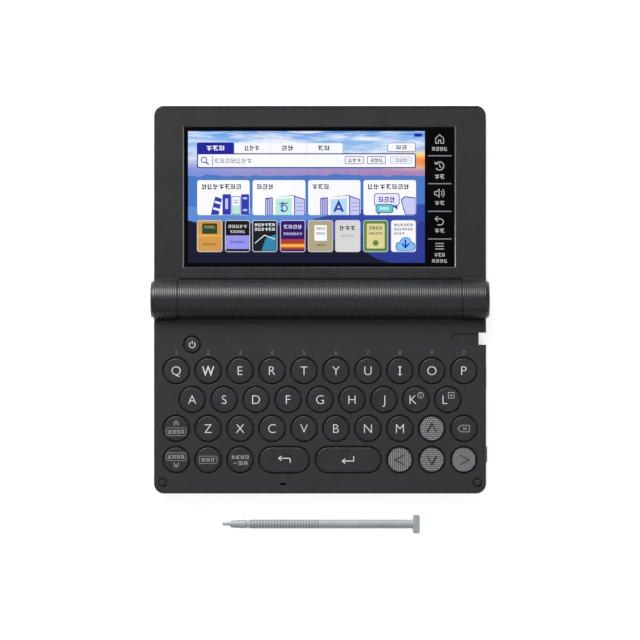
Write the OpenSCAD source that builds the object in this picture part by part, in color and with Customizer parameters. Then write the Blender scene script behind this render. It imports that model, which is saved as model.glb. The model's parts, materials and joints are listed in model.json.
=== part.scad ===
// Clamshell electronic dictionary with a stylus: lid laid open flat, keys up, stylus lying in front.
// The hinge axis runs along X. Inside each module, Y is measured from that axis and Z from the desk.

/* [Case] */
// Width of the base and of the lid
case_w = 132.2; // [131:0.1:134]
// Hinge axis to the front edge of the base, and to the far edge of the lid
case_depth = 77.2; // [77:0.1:80]
// Radius of the outer corners
corner_r = 4; // [2:0.5:6]
// Height of the key deck above the desk
deck_h = 8.6; // [8.6:0.1:9.2]
// Thickness of the deck's top plate
plate_t = 1.2; // [1:0.1:1.3]
// Thickness of the lid
lid_t = 7.3; // [7:0.1:7.4]
// Wall thickness of the shells
wall = 1.5; // [1.2:0.1:1.6]
// Thickness of the floors of both shells
floor_t = 1.2; // [1:0.1:1.3]

/* [Hinge] */
// Height of the hinge axis above the desk
axis_h = 8.5; // [8.5:0.1:9]
// Radius of the battery barrel and of the lid's knuckles
barrel_r = 8; // [7.9:0.05:8.2]
// Length of the middle barrel section, which belongs to the base
barrel_len = 112.6; // [112:0.2:113]
// Radius of the hinge pins
pin_r = 2.5; // [2:0.1:3]
// Radial clearance of the lid's knuckles on the pins
pin_clearance = 0.04; // [0.02:0.01:0.08]
// How far the end caps bulge beyond the case sides
cap_bulge = 1.2; // [0.5:0.1:1.5]

/* [Keys] */
// Distance between key columns
key_pitch = 12.7; // [12.6:0.05:12.8]
// Radius of a round key cap
key_r = 4.9; // [4.6:0.1:5]
// Gap between a cap and its hole in the deck
key_gap = 0.55; // [0.3:0.05:0.6]
// Height of the caps above the deck
key_proud = 0.7; // [0.4:0.1:0.7]
// How far a key goes down
key_travel = 1; // [0.6:0.1:1]
// Radius of the power key's cap
power_r = 3; // [2.6:0.1:3.2]

/* [Screen] */
// Width of the window in the lid's bezel
window_w = 107.7; // [106:0.1:108]
// Height of the window
window_h = 55.5; // [54:0.1:56]
// Hinge axis to the near edge of the window
window_y = 13; // [12.5:0.1:13.5]
// Depth of the screen's surface below the bezel
window_depth = 0.5; // [0.3:0.1:0.6]

/* [Stylus] */
// Length of the stylus
stylus_len = 78.8; // [78:0.1:79]
// Diameter of its barrel
stylus_d = 3.7; // [3.5:0.05:3.8]
// Height of its flat head, measured across the stylus
head_w = 7.4; // [7:0.1:7.5]
// Thickness of its head along the stylus
head_t = 2.65; // [2.5:0.05:2.8]

/* [Hidden] */
$fn = 64;
hinge_y = 8;             // place of the hinge axis behind the middle of the whole object
half_w = case_w / 2;
shell_z = 0.7;           // underside of the base shell, which stands on rubber feet
part_z = 4.65;           // parting plane of the base shells, and the middle of the stylus silo
plate_z = deck_h - plate_t;
knuckle_gap = 0.25;      // side gap between the barrel and each knuckle
swing_gap = 0.35;        // gap between the barrel surface and the shell of the other half
base_rear = -barrel_r - swing_gap;
lid_near = barrel_r + swing_gap + 0.1;
cradle_y = 5.7;          // how close to the axis the cradles under the barrel reach
base_cradle_h = 1.7;     // height of the base's cradle, in front of each knuckle
lid_cradle_h = 1.2;      // height of the lid's cradle, behind the middle of the barrel
bezel_t = 1.4;           // thickness of the bezel that closes the lid
bezel_z = lid_t - bezel_t;

// Key places: columns across the deck, and one Y for each row
row_y = [-28.3, -39.8, -51.3, -63.7];
function column_x(i) = (i - 4.5) * key_pitch;
TOP_ROW = ["q", "w", "e", "r", "t", "y", "u", "i", "o", "p"];
HOME_ROW = ["a", "s", "d", "f", "g", "h", "j", "k", "l"];
LOW_ROW = ["previous", "z", "x", "c", "v", "b", "n", "m", "up", "delete"];
FRONT_LEFT = ["next", "shift", "space"];
FRONT_RIGHT = ["left", "down", "right"];
power_at = [-50.8, -17.9];
back_stretch = 9.65;     // straight part of the back key
enter_stretch = 15.7;    // straight part of the enter key

// One key is [node, x, y, cap radius, straight length]
function round_key(name, x, y, r = key_r) = [str("key_", name), x, y, r, 0];
function row_of_keys(names, first_column, y) =
    [for (i = [0 : len(names) - 1]) round_key(names[i], column_x(i + first_column), y)];
KEYS = concat(
    row_of_keys(TOP_ROW, 0, row_y[0]),
    row_of_keys(HOME_ROW, 0.5, row_y[1]),
    row_of_keys(LOW_ROW, 0, row_y[2]),
    row_of_keys(FRONT_LEFT, 0, row_y[3]),
    [["key_back", column_x(3) + back_stretch / 2, row_y[3], key_r, back_stretch]],
    [["key_enter", column_x(6) - enter_stretch / 2, row_y[3], key_r, enter_stretch]],
    row_of_keys(FRONT_RIGHT, 7, row_y[3]),
    [round_key("power", power_at[0], power_at[1], power_r)]);

flange_wide = 0.85;      // how far a key's flange reaches beyond its cap
flange_t = 0.4;
flange_top = plate_z - 0.1;
flange_z = flange_top - flange_t;
edge_break = 0.25;       // chamfer round the top of a cap

// Layers under the keys, which leave room for the travel and a little air above the domes
board_t = 0.8;
sheet_t = 0.4;
dome_t = 0.35;
dome_air = 0.15;
sheet_z = flange_z - key_travel - dome_air - dome_t - sheet_t;
board_z = sheet_z - board_t;
BOARD_POSTS = [for (x = [-30, 0, 25], y = [-34, -46, -58]) [x, y]];

// Screws, from below: left rear, middle rear, behind the right columns, right side, then the front row
SCREWS = [[-62, -14], [-17, -12.6], [12.7, -20.7], [62.2, -22.1], [-48, -72.8], [12, -72.8], [48, -72.8]];
screw_r = 0.8;
screw_head_r = 1.55;
boss_r = 2.3;
deck_boss_r = 1.7;

// Stylus notch in the right side, and the silo that opens into it
notch_y = -15.6;
notch_w = 4.8;
notch_x = half_w - 3;
silo_r = 2;
silo_wall = 0.5;
silo_len = 76.6;
scoop_r = 2.3;
scoop_len = 10.9;
scoop_depth = 0.7;

// Sockets in the right side
usb_y = -30.85;
usb_w = 9.1;
usb_h = 3.3;
usb_z = 2.95;
usb_len = 7.3;
jack_y = -61.8;
jack_z = 3;
jack_r = 1.8;
jack_depth = 14;
jack_boss_r = 2.15;
jack_boss_stretch = 2.1;
jack_proud = 0.45;
jack_body_w = 6;         // the socket's plain body inside the case
jack_body_low = 1;
jack_body_top = 5;

// Battery bay
cell_r = 7;
cell_len = 50.5;
bay_r = 7.35;
bay_half = 52.7;
door_half = 50.8;
door_gap = 0.15;
door_travel = 3;
door_t = 0.8;
ledge_x = 50.6;          // start of the ledge that the door slides over
ledge_t = 0.45;
ledge_air = 0.05;        // clearance between the ledge and the door
terminal_r = 2.75;       // raised positive end of a cell
contact_r = 5.5;
contact_t = 0.6;

// Small fittings on the deck and underneath
mic_at = [-14.7, -73.3];
mic_r = 0.45;
mic_stretch = 1.6;
BUMPERS = [[-62.6, -72.7], [62.6, -72.7]];
bumper_r = 1.3;
bumper_top = 9.5;
FEET = [[-57, -68.5], [57, -68.5], [-57, -18], [52, -18]];
foot_r = 3.5;
speaker_at = [-31, -14.1];
speaker_t = 2.6;
speaker_slot_pitch = 1.5;
speaker_slot_r = 0.35;
board_post_r = 1.5;
stylus_y = -89.5;
stylus_x = 0.35;         // middle of the stylus
head_h = 4.4;            // size of the stylus head that stands up when it lies on the desk
ribbon_x = -60.5;        // middle of the display ribbon, inside the left knuckle
ribbon_w = 3.6;
ribbon_z = 2.4;
ribbon_t = 0.3;
ribbon_air = 0.1;        // clearance round the ribbon where it passes the shell
ribbon_roll_r = 6.2;     // outside and inside of its roll round the hinge pin
ribbon_roll_in = 4.6;

// Hinge pins, and the display parts in the lid
pin_inner = 53;
pin_outer = 63.8;
window_x = -54.1;        // left edge of the window
rebate = 1.2;            // how far the touch panel reaches under the bezel
panel_t = 0.8;
panel_z = lid_t - window_depth - panel_t;
lcd_z = 3.2;             // underside of the display tray, which rests on posts
lcd_x0 = -54;
lcd_x1 = 43.5;
lid_post_r = 2;
cap_rim_r = 7.3;         // rim of an end cap, and the rounding of that rim
cap_round = 1;
cap_plug_len = 1.8;
LID_POSTS = [for (x = [-48, -4, 38], y = [20, 41, 62]) [x, y]];

// ---- helpers -------------------------------------------------------------------------------

// Puts a shape that is drawn round the hinge axis in the object's frame
module seated() { translate([0, hinge_y, 0]) children(); }

// A cylinder along X, from one X to another
module bar(r, x0, x1, y = 0, z = axis_h) {
    translate([x0, y, z]) rotate([0, 90, 0]) cylinder(r = r, h = x1 - x0);
}

// A box from its lowest corner to its highest
module block(low, high) { translate(low) cube(high - low); }

function arc(cx, cy, r, a0, a1, n = 12) =
    [for (i = [0 : n]) let (a = a0 + (a1 - a0) * i / n) [cx + r * cos(a), cy + r * sin(a)]];

// Plan of a half of the case: two round corners at its far edge, square corners by the hinge
function case_plan(hw, near, far, r) = concat(
    [[hw, near], [-hw, near]],
    arc(-hw + r, far - r, r, 180, 90),
    arc(hw - r, far - r, r, 90, 0));

// A slot outline with round ends, its straight part along X
function slot_plan(stretch, r) = concat(
    arc(stretch / 2, 0, r, -90, 90, 24), arc(-stretch / 2, 0, r, 90, 270, 24));

// The same slot as a bar along X, lying on its side
module side_slot(stretch, r, x0, x1, y, z) {
    translate([x0, y, z]) rotate([90, 0, 90]) linear_extrude(x1 - x0) polygon(slot_plan(stretch, r));
}

// Plain body of the round socket, from its underside to a given height
module jack_body(top) {
    block([half_w - jack_depth - 0.6, jack_y - jack_body_w / 2, jack_body_low],
          [half_w - wall - 0.5, jack_y + jack_body_w / 2, top]);
}

module base_plan(inset = 0) {
    mirror([0, 1])
        polygon(case_plan(half_w - inset, -base_rear + inset, case_depth - inset, corner_r - inset));
}

module lid_plan(inset = 0) {
    polygon(case_plan(half_w - inset, lid_near + inset, case_depth - inset, corner_r - inset));
}

// Room taken by the stylus notch, grown by a margin
module notch_plan(margin = 0) {
    translate([notch_x - margin, notch_y - notch_w / 2 - margin])
        square([half_w - notch_x + margin + 1, notch_w + 2 * margin]);
}

// Space inside the base shells, which keeps a wall round the notch
module base_cavity_plan() {
    difference() {
        base_plan(wall);
        notch_plan(wall);
    }
}

module at_screws(z) {
    for (s = SCREWS) translate([s[0], s[1], z]) children();
}

// ---- keys ----------------------------------------------------------------------------------

// A round cap with a flange that the deck holds down
module round_cap(r) {
    top = deck_h + key_proud;
    rotate_extrude() polygon([
        [0, flange_z], [r + flange_wide, flange_z], [r + flange_wide, flange_top], [r, flange_top],
        [r, top - edge_break], [r - edge_break, top], [0, top]]);
}

// A long cap with round ends and the same flange
module long_cap(r, stretch) {
    top = deck_h + key_proud;
    translate([0, 0, flange_z]) linear_extrude(flange_t) polygon(slot_plan(stretch, r + flange_wide));
    translate([0, 0, flange_top])
        linear_extrude(top - flange_top - edge_break) polygon(slot_plan(stretch, r));
    translate([0, 0, top - edge_break])
        linear_extrude(edge_break) polygon(slot_plan(stretch, r - edge_break));
}

module key_cap(key) {
    color("#3d3d3e") seated() translate([key[1], key[2], 0])
        if (key[4] == 0) round_cap(key[3]);
        else long_cap(key[3], key[4]);
}

module key_hole(key) {
    translate([key[1], key[2], plate_z - 1])
        if (key[4] == 0) cylinder(r = key[3] + key_gap, h = plate_t + 2);
        else linear_extrude(plate_t + 2) polygon(slot_plan(key[4], key[3] + key_gap));
}

// ---- base ----------------------------------------------------------------------------------

// Upper shell: the plate with the key holes, and a skirt down to the parting plane
module key_deck() {
    color("#3a3a3b") seated() difference() {
        union() {
            difference() {
                translate([0, 0, part_z]) linear_extrude(deck_h - part_z) base_plan();
                translate([0, 0, part_z - 1]) linear_extrude(plate_z - part_z + 1) base_cavity_plan();
            }
            block([-barrel_len / 2, base_rear - 1, plate_z], [barrel_len / 2, -6, deck_h]);
            at_screws(part_z) cylinder(r = deck_boss_r, h = plate_z - part_z + 0.2);
        }
        bar(barrel_r, -barrel_len / 2 - 1, barrel_len / 2 + 1);
        for (key = KEYS) key_hole(key);
        translate([0, 0, part_z - 1]) linear_extrude(deck_h) notch_plan();
        translate([notch_x - scoop_len + scoop_r, notch_y, deck_h - scoop_depth]) {
            cylinder(r = scoop_r, h = scoop_depth + 1);
            block([0, -scoop_r, 0], [scoop_len, scoop_r, scoop_depth + 1]);
        }
        bar(silo_r + silo_wall, notch_x - wall - 1, notch_x + 1, notch_y, part_z);
        side_slot(jack_boss_stretch, jack_boss_r, half_w - wall - 1, half_w + 1, jack_y, jack_z);
        for (b = BUMPERS) translate([b[0], b[1], deck_h - 0.5]) cylinder(r = bumper_r + 0.15, h = 1);
        translate([mic_at[0], mic_at[1], plate_z - 1])
            linear_extrude(plate_t + 2) polygon(slot_plan(mic_stretch, mic_r));
        at_screws(part_z - 1) cylinder(r = screw_r, h = plate_z - part_z);
    }
}

// Lower shell: floor, walls, screw bosses, board posts and the tube that holds the stylus
module bottom_case() {
    color("#2f2f30") seated() difference() {
        union() {
            difference() {
                translate([0, 0, shell_z]) linear_extrude(part_z - shell_z) base_plan();
                translate([0, 0, shell_z + floor_t]) linear_extrude(part_z) base_cavity_plan();
            }
            at_screws(shell_z) cylinder(r = boss_r, h = part_z - shell_z);
            bar(silo_r + silo_wall, notch_x - silo_len - 1, notch_x, notch_y, part_z);
            for (p = BOARD_POSTS)
                translate([p[0], p[1], shell_z]) cylinder(r = board_post_r, h = board_z - shell_z);
            for (s = [0, 1]) mirror([s, 0, 0])
                block([barrel_len / 2, base_rear - wall, shell_z],
                      [half_w, -cradle_y, shell_z + base_cradle_h]);
        }
        for (s = [0, 1]) mirror([s, 0, 0]) bar(barrel_r + swing_gap, barrel_len / 2, half_w + 1);
        bar(silo_r, notch_x - silo_len, notch_x + 1, notch_y, part_z);
        translate([0, 0, -1]) linear_extrude(part_z + 10) notch_plan();
        at_screws(shell_z - 1) cylinder(r = screw_head_r, h = 2);
        at_screws(shell_z) cylinder(r = screw_r, h = part_z);
        side_slot(usb_w - usb_h, usb_h / 2, half_w - usb_len, half_w + 1, usb_y, usb_z);
        side_slot(jack_boss_stretch, jack_boss_r, half_w - wall - 1, half_w + 1, jack_y, jack_z);
        jack_body(part_z + 1);
        for (i = [-2 : 2]) translate([speaker_at[0], speaker_at[1] + speaker_slot_pitch * i, 0])
            linear_extrude(4) polygon(slot_plan(9 - abs(i) * 2, speaker_slot_r));
    }
}

// Middle of the barrel: a tube for two cells with closed ends, open below over the door.
// Past the door's right end the opening only goes as deep as the ledge that the door slides over.
module battery_barrel() {
    half = barrel_len / 2;
    slot_front = base_rear + door_t;
    slot_end = door_half + door_travel + door_gap;
    color("#2c2c2e") seated() difference() {
        union() {
            bar(barrel_r, -half, half);
            block([-half, base_rear, shell_z], [half, 0, plate_z]);
        }
        bar(bay_r, -bay_half, ledge_x);
        bar(bay_r - ledge_t, ledge_x - 1, bay_half);
        block([-door_half - door_gap, slot_front, -1], [ledge_x, barrel_r + 1, axis_h]);
        difference() {
            block([ledge_x - 1, slot_front, -1], [slot_end, barrel_r + 1, axis_h]);
            bar(bay_r - ledge_air, ledge_x, slot_end + 1);
            block([ledge_x, slot_front - 1, axis_h - barrel_r + door_t + ledge_air],
                  [slot_end + 1, 0, axis_h + 1]);
        }
        for (s = [-1, 1]) bar(pin_r, s > 0 ? pin_inner : -half - 1, s > 0 ? half + 1 : -pin_inner);
    }
}

// Door under the barrel: a quarter tube behind and a flat tongue in front, sliding along X
module battery_door() {
    front = base_rear + door_t + door_gap;
    color("#303032") seated() translate([-door_half, 0, axis_h]) rotate([90, 0, 90])
        linear_extrude(2 * door_half) difference() {
            union() {
                intersection() {
                    circle(r = barrel_r);
                    translate([0, -barrel_r - 1]) square([barrel_r + 1, barrel_r + 1 - door_gap]);
                }
                translate([front, -barrel_r]) square([-front, door_t]);
            }
            circle(r = bay_r);
        }
}

// Two cells end to end, each with its raised positive end towards +X
module aa_cells() {
    color("#b8b4a8") seated() for (x = [-cell_len, 0]) {
        bar(cell_r, x, x + cell_len - 1);
        bar(terminal_r, x + cell_len - 1.2, x + cell_len - 0.05);
    }
}

// A flat plate at the positive end and a cone-shaped spring at the negative one
module battery_contacts() {
    color("#c8ccd0") seated() {
        bar(contact_r, cell_len, cell_len + contact_t);
        block([cell_len + contact_t, -1.5, axis_h - 4], [bay_half, 1.5, axis_h + 4]);
        translate([-bay_half, 0, axis_h]) rotate([0, 90, 0])
            cylinder(r1 = contact_r, r2 = 3, h = bay_half - cell_len);
    }
}

// Plan of the circuit board: the main area, a tab below the power key, and holes for the bosses
module board_plan() {
    difference() {
        union() {
            translate([-61, -70.3]) square([122, 51]);
            translate([-57, -20]) square([14, 8]);
        }
        for (s = SCREWS) translate(s) circle(r = boss_r + 0.3);
    }
}

// Rubber sheet with a low dome below each key
module key_membrane() {
    color("#8e9296") seated() {
        translate([0, 0, sheet_z]) linear_extrude(sheet_t) board_plan();
        for (key = KEYS) translate([key[1], key[2], sheet_z + sheet_t - 0.1])
            cylinder(r1 = key[3] * 0.6, r2 = key[3] * 0.45, h = dome_t + 0.1);
    }
}

// Circuit board with its larger chips underneath
module main_board() {
    color("#2e6b45") seated() {
        translate([0, 0, board_z]) linear_extrude(board_t) difference() {
            board_plan();
            translate([half_w - usb_len - 0.5, usb_y - usb_w / 2 - 0.5]) square([20, usb_w + 1]);
            translate([half_w - jack_depth - 1, jack_y - 3.5]) square([20, 7]);
        }
        block([-22, -44, board_z - 1.2], [-8, -30, board_z]);
        block([8, -42, board_z - 1], [19, -32, board_z]);
        block([32, -50, board_z - 1.4], [44, -38, board_z]);
        block([-50, -60, board_z - 0.9], [-38, -50, board_z]);
    }
}

module speaker() {
    color("#3c4046") seated() translate([speaker_at[0], speaker_at[1], shell_z + floor_t])
        linear_extrude(speaker_t) polygon(slot_plan(12, 4));
}

// Round stops at the front corners that the closed lid rests on
module lid_bumpers() {
    color("#1c1c1d") seated() for (b = BUMPERS)
        translate([b[0], b[1], deck_h - 0.5]) cylinder(r = bumper_r, h = bumper_top - deck_h + 0.5);
}

module rubber_feet() {
    color("#202021") seated() for (f = FEET)
        translate([f[0], f[1], 0]) cylinder(r = foot_r, h = shell_z);
}

module case_screws() {
    color("#77797c") seated() {
        at_screws(shell_z + 0.1) cylinder(r = screw_head_r, h = 0.9);
        at_screws(shell_z + 0.5) cylinder(r = screw_r, h = 5.2);
    }
}

// Socket shell with a tongue, standing a little proud of the side
module usb_socket() {
    color("#9aa0a6") seated() {
        difference() {
            side_slot(usb_w - usb_h, usb_h / 2, half_w - usb_len, half_w + 0.2, usb_y, usb_z);
            side_slot(usb_w - usb_h, usb_h / 2 - 0.4, half_w - usb_len + 0.8, half_w + 1, usb_y, usb_z);
        }
        block([half_w - usb_len, usb_y - 3.3, usb_z - 0.35], [half_w - 1.2, usb_y + 3.3, usb_z + 0.35]);
    }
}

// Socket for a round plug: a block inside, and a rounded boss through the side wall
module earphone_jack() {
    color("#262627") seated() difference() {
        union() {
            jack_body(jack_body_top);
            side_slot(jack_boss_stretch, jack_boss_r,
                      half_w - wall - 1, half_w + jack_proud, jack_y, jack_z);
        }
        bar(jack_r, half_w + jack_proud - jack_depth, half_w + 1, jack_y, jack_z);
    }
}

module hinge_pins() {
    color("#b4b6b8") seated() for (s = [-1, 1])
        bar(pin_r, s > 0 ? pin_inner : -pin_outer, s > 0 ? pin_outer : -pin_inner);
}

// ---- lid -----------------------------------------------------------------------------------

// One knuckle, drawn on the right: a cup that turns on the hinge pin
module knuckle() {
    near = barrel_len / 2 + knuckle_gap;
    difference() {
        union() {
            bar(barrel_r, near, half_w);
            block([near, 2, 1], [half_w, lid_near + 1, lid_t]);
        }
        difference() {
            bar(barrel_r - 1, near + wall, half_w + 1);
            bar(4, near, 63.6);
        }
        bar(pin_r + pin_clearance, near - 1, half_w + 1);
    }
}

// Outer shell of the lid with its two knuckles and the posts below the display
module lid_back_cover() {
    color("#333334") seated() difference() {
        union() {
            difference() {
                linear_extrude(bezel_z) lid_plan();
                translate([0, 0, floor_t]) linear_extrude(bezel_z) lid_plan(wall);
            }
            intersection() {
                union() {
                    knuckle();
                    mirror([1, 0, 0]) knuckle();
                }
                translate([-half_w, -barrel_r, 0]) cube([2 * half_w, barrel_r + lid_near + 0.2, 20]);
            }
            for (p = LID_POSTS)
                translate([p[0], p[1], floor_t]) cylinder(r = lid_post_r, h = lcd_z - floor_t);
            difference() {
                block([-barrel_len / 2, cradle_y, 0], [barrel_len / 2, lid_near + wall, lid_cradle_h]);
                bar(barrel_r + swing_gap, -barrel_len / 2 - 1, barrel_len / 2 + 1);
            }
        }
        block([ribbon_x - ribbon_w / 2 - ribbon_air, 3, ribbon_z - ribbon_air],
              [ribbon_x + ribbon_w / 2 + ribbon_air, 12, ribbon_z + ribbon_t + ribbon_air]);
        block([-half_w - 1, lid_near, bezel_z], [half_w + 1, lid_near + 5, bezel_z + 5]);
    }
}

// Front frame of the lid, with a rebate behind the window for the touch panel
module display_bezel() {
    color("#373738") seated() difference() {
        translate([0, 0, bezel_z]) linear_extrude(lid_t - bezel_z) lid_plan();
        block([window_x, window_y, 0], [window_x + window_w, window_y + window_h, lid_t + 1]);
        translate([window_x - rebate, window_y - rebate, 0])
            cube([window_w + 2 * rebate, window_h + 2 * rebate, lid_t - window_depth]);
    }
}

module touch_panel() {
    color("#101214") seated() translate([window_x - rebate, window_y - rebate, panel_z])
        cube([window_w + 2 * rebate, window_h + 2 * rebate, panel_t]);
}

module lcd_module() {
    color("#5a7fae") seated()
        block([lcd_x0, window_y + 0.2, lcd_z], [lcd_x1, window_y + window_h - 0.2, panel_z]);
}

// Shallow domes that close the open ends of the knuckles
module hinge_end_caps() {
    color("#39393b") seated() for (s = [0, 1]) mirror([s, 0, 0])
        translate([half_w, 0, axis_h]) rotate([0, 90, 0]) {
            translate([0, 0, -cap_plug_len]) cylinder(r = barrel_r - 1, h = cap_plug_len + 0.2);
            rotate_extrude() polygon(concat(
                [[0, 0], [cap_rim_r, 0]],
                arc(cap_rim_r - cap_round, cap_bulge - cap_round, cap_round, 0, 90, 6),
                [[0, cap_bulge]]));
        }
}

// Flat ribbon of the display: a roll round the left hinge pin and a strip into the lid
module display_cable() {
    x0 = ribbon_x - ribbon_w / 2;
    x1 = ribbon_x + ribbon_w / 2;
    color("#b98a3c") seated() {
        difference() {
            bar(ribbon_roll_r, x0, x1);
            bar(ribbon_roll_in, x0 - 1, x1 + 1);
        }
        block([x0, 0, ribbon_z], [x1, 15, ribbon_z + ribbon_t]);
        block([x0, 11, ribbon_z], [-45, 15, ribbon_z + ribbon_t]);
        block([-50, 14, ribbon_z], [-42, 17.4, lcd_z]);
    }
}

// ---- stylus --------------------------------------------------------------------------------

// Tapered tip, nose, groove, plain round barrel and a flat head, lying along X
module stylus() {
    tip_len = 3.3;
    nose_end = 9.7;
    neck_r = 1.5;
    r = stylus_d / 2;
    shaft_end = stylus_len - head_t;
    color("#a4a7a9") seated() translate([stylus_x - stylus_len / 2, stylus_y, head_h / 2]) {
        rotate([0, 90, 0]) rotate_extrude() polygon([
            [0, 0], [0.4, 0], [0.7, 0.3], [0.75, tip_len],
            [neck_r, tip_len], [r, nose_end - 0.6], [r, nose_end],
            [neck_r, nose_end], [neck_r, nose_end + 1], [r, nose_end + 1],
            [r, shaft_end + 0.5], [0, shaft_end + 0.5]]);
        block([shaft_end, -head_w / 2, -head_h / 2], [stylus_len, head_w / 2, head_h / 2]);
    }
}

// ---- nodes ---------------------------------------------------------------------------------

for (key = KEYS) key_cap(key);
key_deck();
bottom_case();
battery_barrel();
battery_door();
aa_cells();
battery_contacts();
key_membrane();
main_board();
speaker();
lid_bumpers();
rubber_feet();
case_screws();
usb_socket();
earphone_jack();
hinge_pins();
lid_back_cover();
display_bezel();
touch_panel();
lcd_module();
hinge_end_caps();
display_cable();
stylus();
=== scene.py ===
# %% [markdown]
# # A clamshell electronic dictionary, laid open flat
# The case lies open: the keyboard half in front, the screen half behind, a round battery barrel as the
# hinge between them, and a light grey stylus on the desk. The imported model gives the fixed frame. Each
# visible shell is either trimmed from a copy of its CAD mesh, so that holes and bosses stay where the
# design has them, or modelled new where the CAD only has a plain solid.

# %% Load the fixed frame
import json
import math

import bmesh
import bpy
from mathutils import Matrix, Vector, noise


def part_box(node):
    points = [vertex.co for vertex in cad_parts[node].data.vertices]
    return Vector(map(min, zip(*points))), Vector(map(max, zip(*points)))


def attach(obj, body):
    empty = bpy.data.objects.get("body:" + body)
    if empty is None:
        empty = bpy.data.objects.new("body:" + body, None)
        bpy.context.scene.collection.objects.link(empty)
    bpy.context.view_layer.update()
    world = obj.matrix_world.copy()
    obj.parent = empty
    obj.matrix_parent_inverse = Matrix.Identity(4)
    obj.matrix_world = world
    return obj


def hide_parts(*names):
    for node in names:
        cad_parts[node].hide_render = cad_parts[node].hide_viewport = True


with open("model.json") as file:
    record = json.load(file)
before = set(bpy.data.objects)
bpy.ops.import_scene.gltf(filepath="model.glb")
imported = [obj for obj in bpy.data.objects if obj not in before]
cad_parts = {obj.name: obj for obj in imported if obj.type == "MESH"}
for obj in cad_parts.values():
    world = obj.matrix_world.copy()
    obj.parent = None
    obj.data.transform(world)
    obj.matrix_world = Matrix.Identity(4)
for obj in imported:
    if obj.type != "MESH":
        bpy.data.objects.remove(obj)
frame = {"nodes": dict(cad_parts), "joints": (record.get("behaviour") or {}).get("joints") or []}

MM = 0.001
FULL_TURN = 2 * math.pi


def box_mm(node):
    """Lowest and highest corner of a CAD node, in millimetres."""
    low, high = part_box(node)
    return low / MM, high / MM


def middle_mm(node):
    low, high = box_mm(node)
    return (low + high) / 2


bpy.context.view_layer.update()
hinge = next(j for j in frame["joints"] if j["name"] == "lid_hinge")
HINGE_Y = hinge["pos_m"][1] / MM
HINGE_Z = hinge["pos_m"][2] / MM
print("hinge axis at y", HINGE_Y, "z", HINGE_Z, "mm")

# %% [markdown]
# ## Camera and studio
# A dictionary on a catalogue page is seen straight from above, so the camera looks down with a long lens,
# which keeps the sides of the case from showing. One broad soft light stands behind and to the left: on a
# dark satin case nearly all of what the eye reads as shape is the reflection of such a light on rounded
# edges. The world adds an even white, and the floor is plain and pale.

# %% Camera, lights and floor
VIEW_WIDTH = 254.4
LENS = 250.0
SENSOR = 36.0
VIEW_MIDDLE_Y = -0.15
WORLD_STRENGTH = 0.27
scene = bpy.context.scene
scene.view_settings.view_transform = "Standard"

camera_data = bpy.data.cameras.new("camera")
camera_data.lens = LENS
camera_data.sensor_width = SENSOR
camera_data.clip_end = 20
camera = bpy.data.objects.new("camera", camera_data)
scene.collection.objects.link(camera)
deck_top = box_mm("key_deck")[1].z
camera.location = Vector((0, VIEW_MIDDLE_Y, deck_top + VIEW_WIDTH * LENS / SENSOR)) * MM
scene.camera = camera

world = bpy.data.worlds.new("studio")
scene.world = world
world.use_nodes = True
background = world.node_tree.nodes["Background"]
background.inputs["Color"].default_value = (1, 1, 1, 1)
background.inputs["Strength"].default_value = WORLD_STRENGTH


def area_light(name, direction, distance, size, watts):
    """A square soft light that looks at the object from a direction."""
    data = bpy.data.lights.new(name, "AREA")
    data.shape = "SQUARE"
    data.size = size
    data.energy = watts
    lamp = bpy.data.objects.new(name, data)
    scene.collection.objects.link(lamp)
    lamp.location = Vector(direction).normalized() * distance
    lamp.rotation_euler = (-lamp.location).to_track_quat("-Z", "Y").to_euler()
    return lamp


area_light("window_light", direction=(-0.34, 0.72, 0.66), distance=1.1, size=0.62, watts=19)
area_light("fill_light", direction=(0.5, -0.6, 1.1), distance=2.2, size=1.6, watts=7.5)
print("camera height", round(camera.location.z, 4), "m")

# %% [markdown]
# ## Working in millimetres
# Small parts are easier to think about in millimetres, so every piece is built in a bmesh in millimetres
# and scaled once, when it becomes an object. The last step also merges doubled points, turns all faces
# outwards and shades round surfaces smooth, with real edges kept sharp.

# %% Turning a bmesh into a piece
SAME_POINT = 0.0004


def is_vert(item):
    return isinstance(item, bmesh.types.BMVert)


def join(target, part):
    """Adds one bmesh to another and frees it."""
    mesh = bpy.data.meshes.new("joining")
    part.to_mesh(mesh)
    part.free()
    target.from_mesh(mesh)
    bpy.data.meshes.remove(mesh)


def make_piece(bm, name, material, body, replaces=(), smooth=32, weighted=False):
    """Closes a bmesh, gives it its material and lets it ride on a body."""
    bmesh.ops.remove_doubles(bm, verts=bm.verts, dist=SAME_POINT)
    bmesh.ops.recalc_face_normals(bm, faces=bm.faces)
    bmesh.ops.scale(bm, vec=(MM, MM, MM), verts=bm.verts)
    mesh = bpy.data.meshes.new(name)
    bm.to_mesh(mesh)
    bm.free()
    mesh.shade_smooth()
    mesh.set_sharp_from_angle(angle=math.radians(smooth))
    mesh.materials.append(material)
    piece = bpy.data.objects.new(name, mesh)
    scene.collection.objects.link(piece)
    if weighted:
        weights = piece.modifiers.new("flat faces stay flat", "WEIGHTED_NORMAL")
        weights.keep_sharp = True
    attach(piece, body)
    if replaces:
        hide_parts(*replaces)
    return piece


def second_finish(piece, material, belongs):
    """Gives some faces another finish: belongs gets a face's centre, in millimetres, and its normal."""
    piece.data.materials.append(material)
    for face in piece.data.polygons:
        if belongs(face.center / MM, face.normal):
            face.material_index = 1


# %% [markdown]
# ## Basic shapes
# Nearly everything flat here is one of four things: a plate with rounded corners, a disc, a line of even
# width, or a row of letters. A plate is a face whose corners are bevelled and which is then extruded. A
# line is an edge extruded upwards into a ribbon, which solidify turns into a wall with mitred corners.
# A turned part is a half section that is spun round an axis.

# %% Plates, discs, lines and turned parts


def open_edges(bm):
    return [e for e in bm.edges if e.is_boundary]


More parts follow.
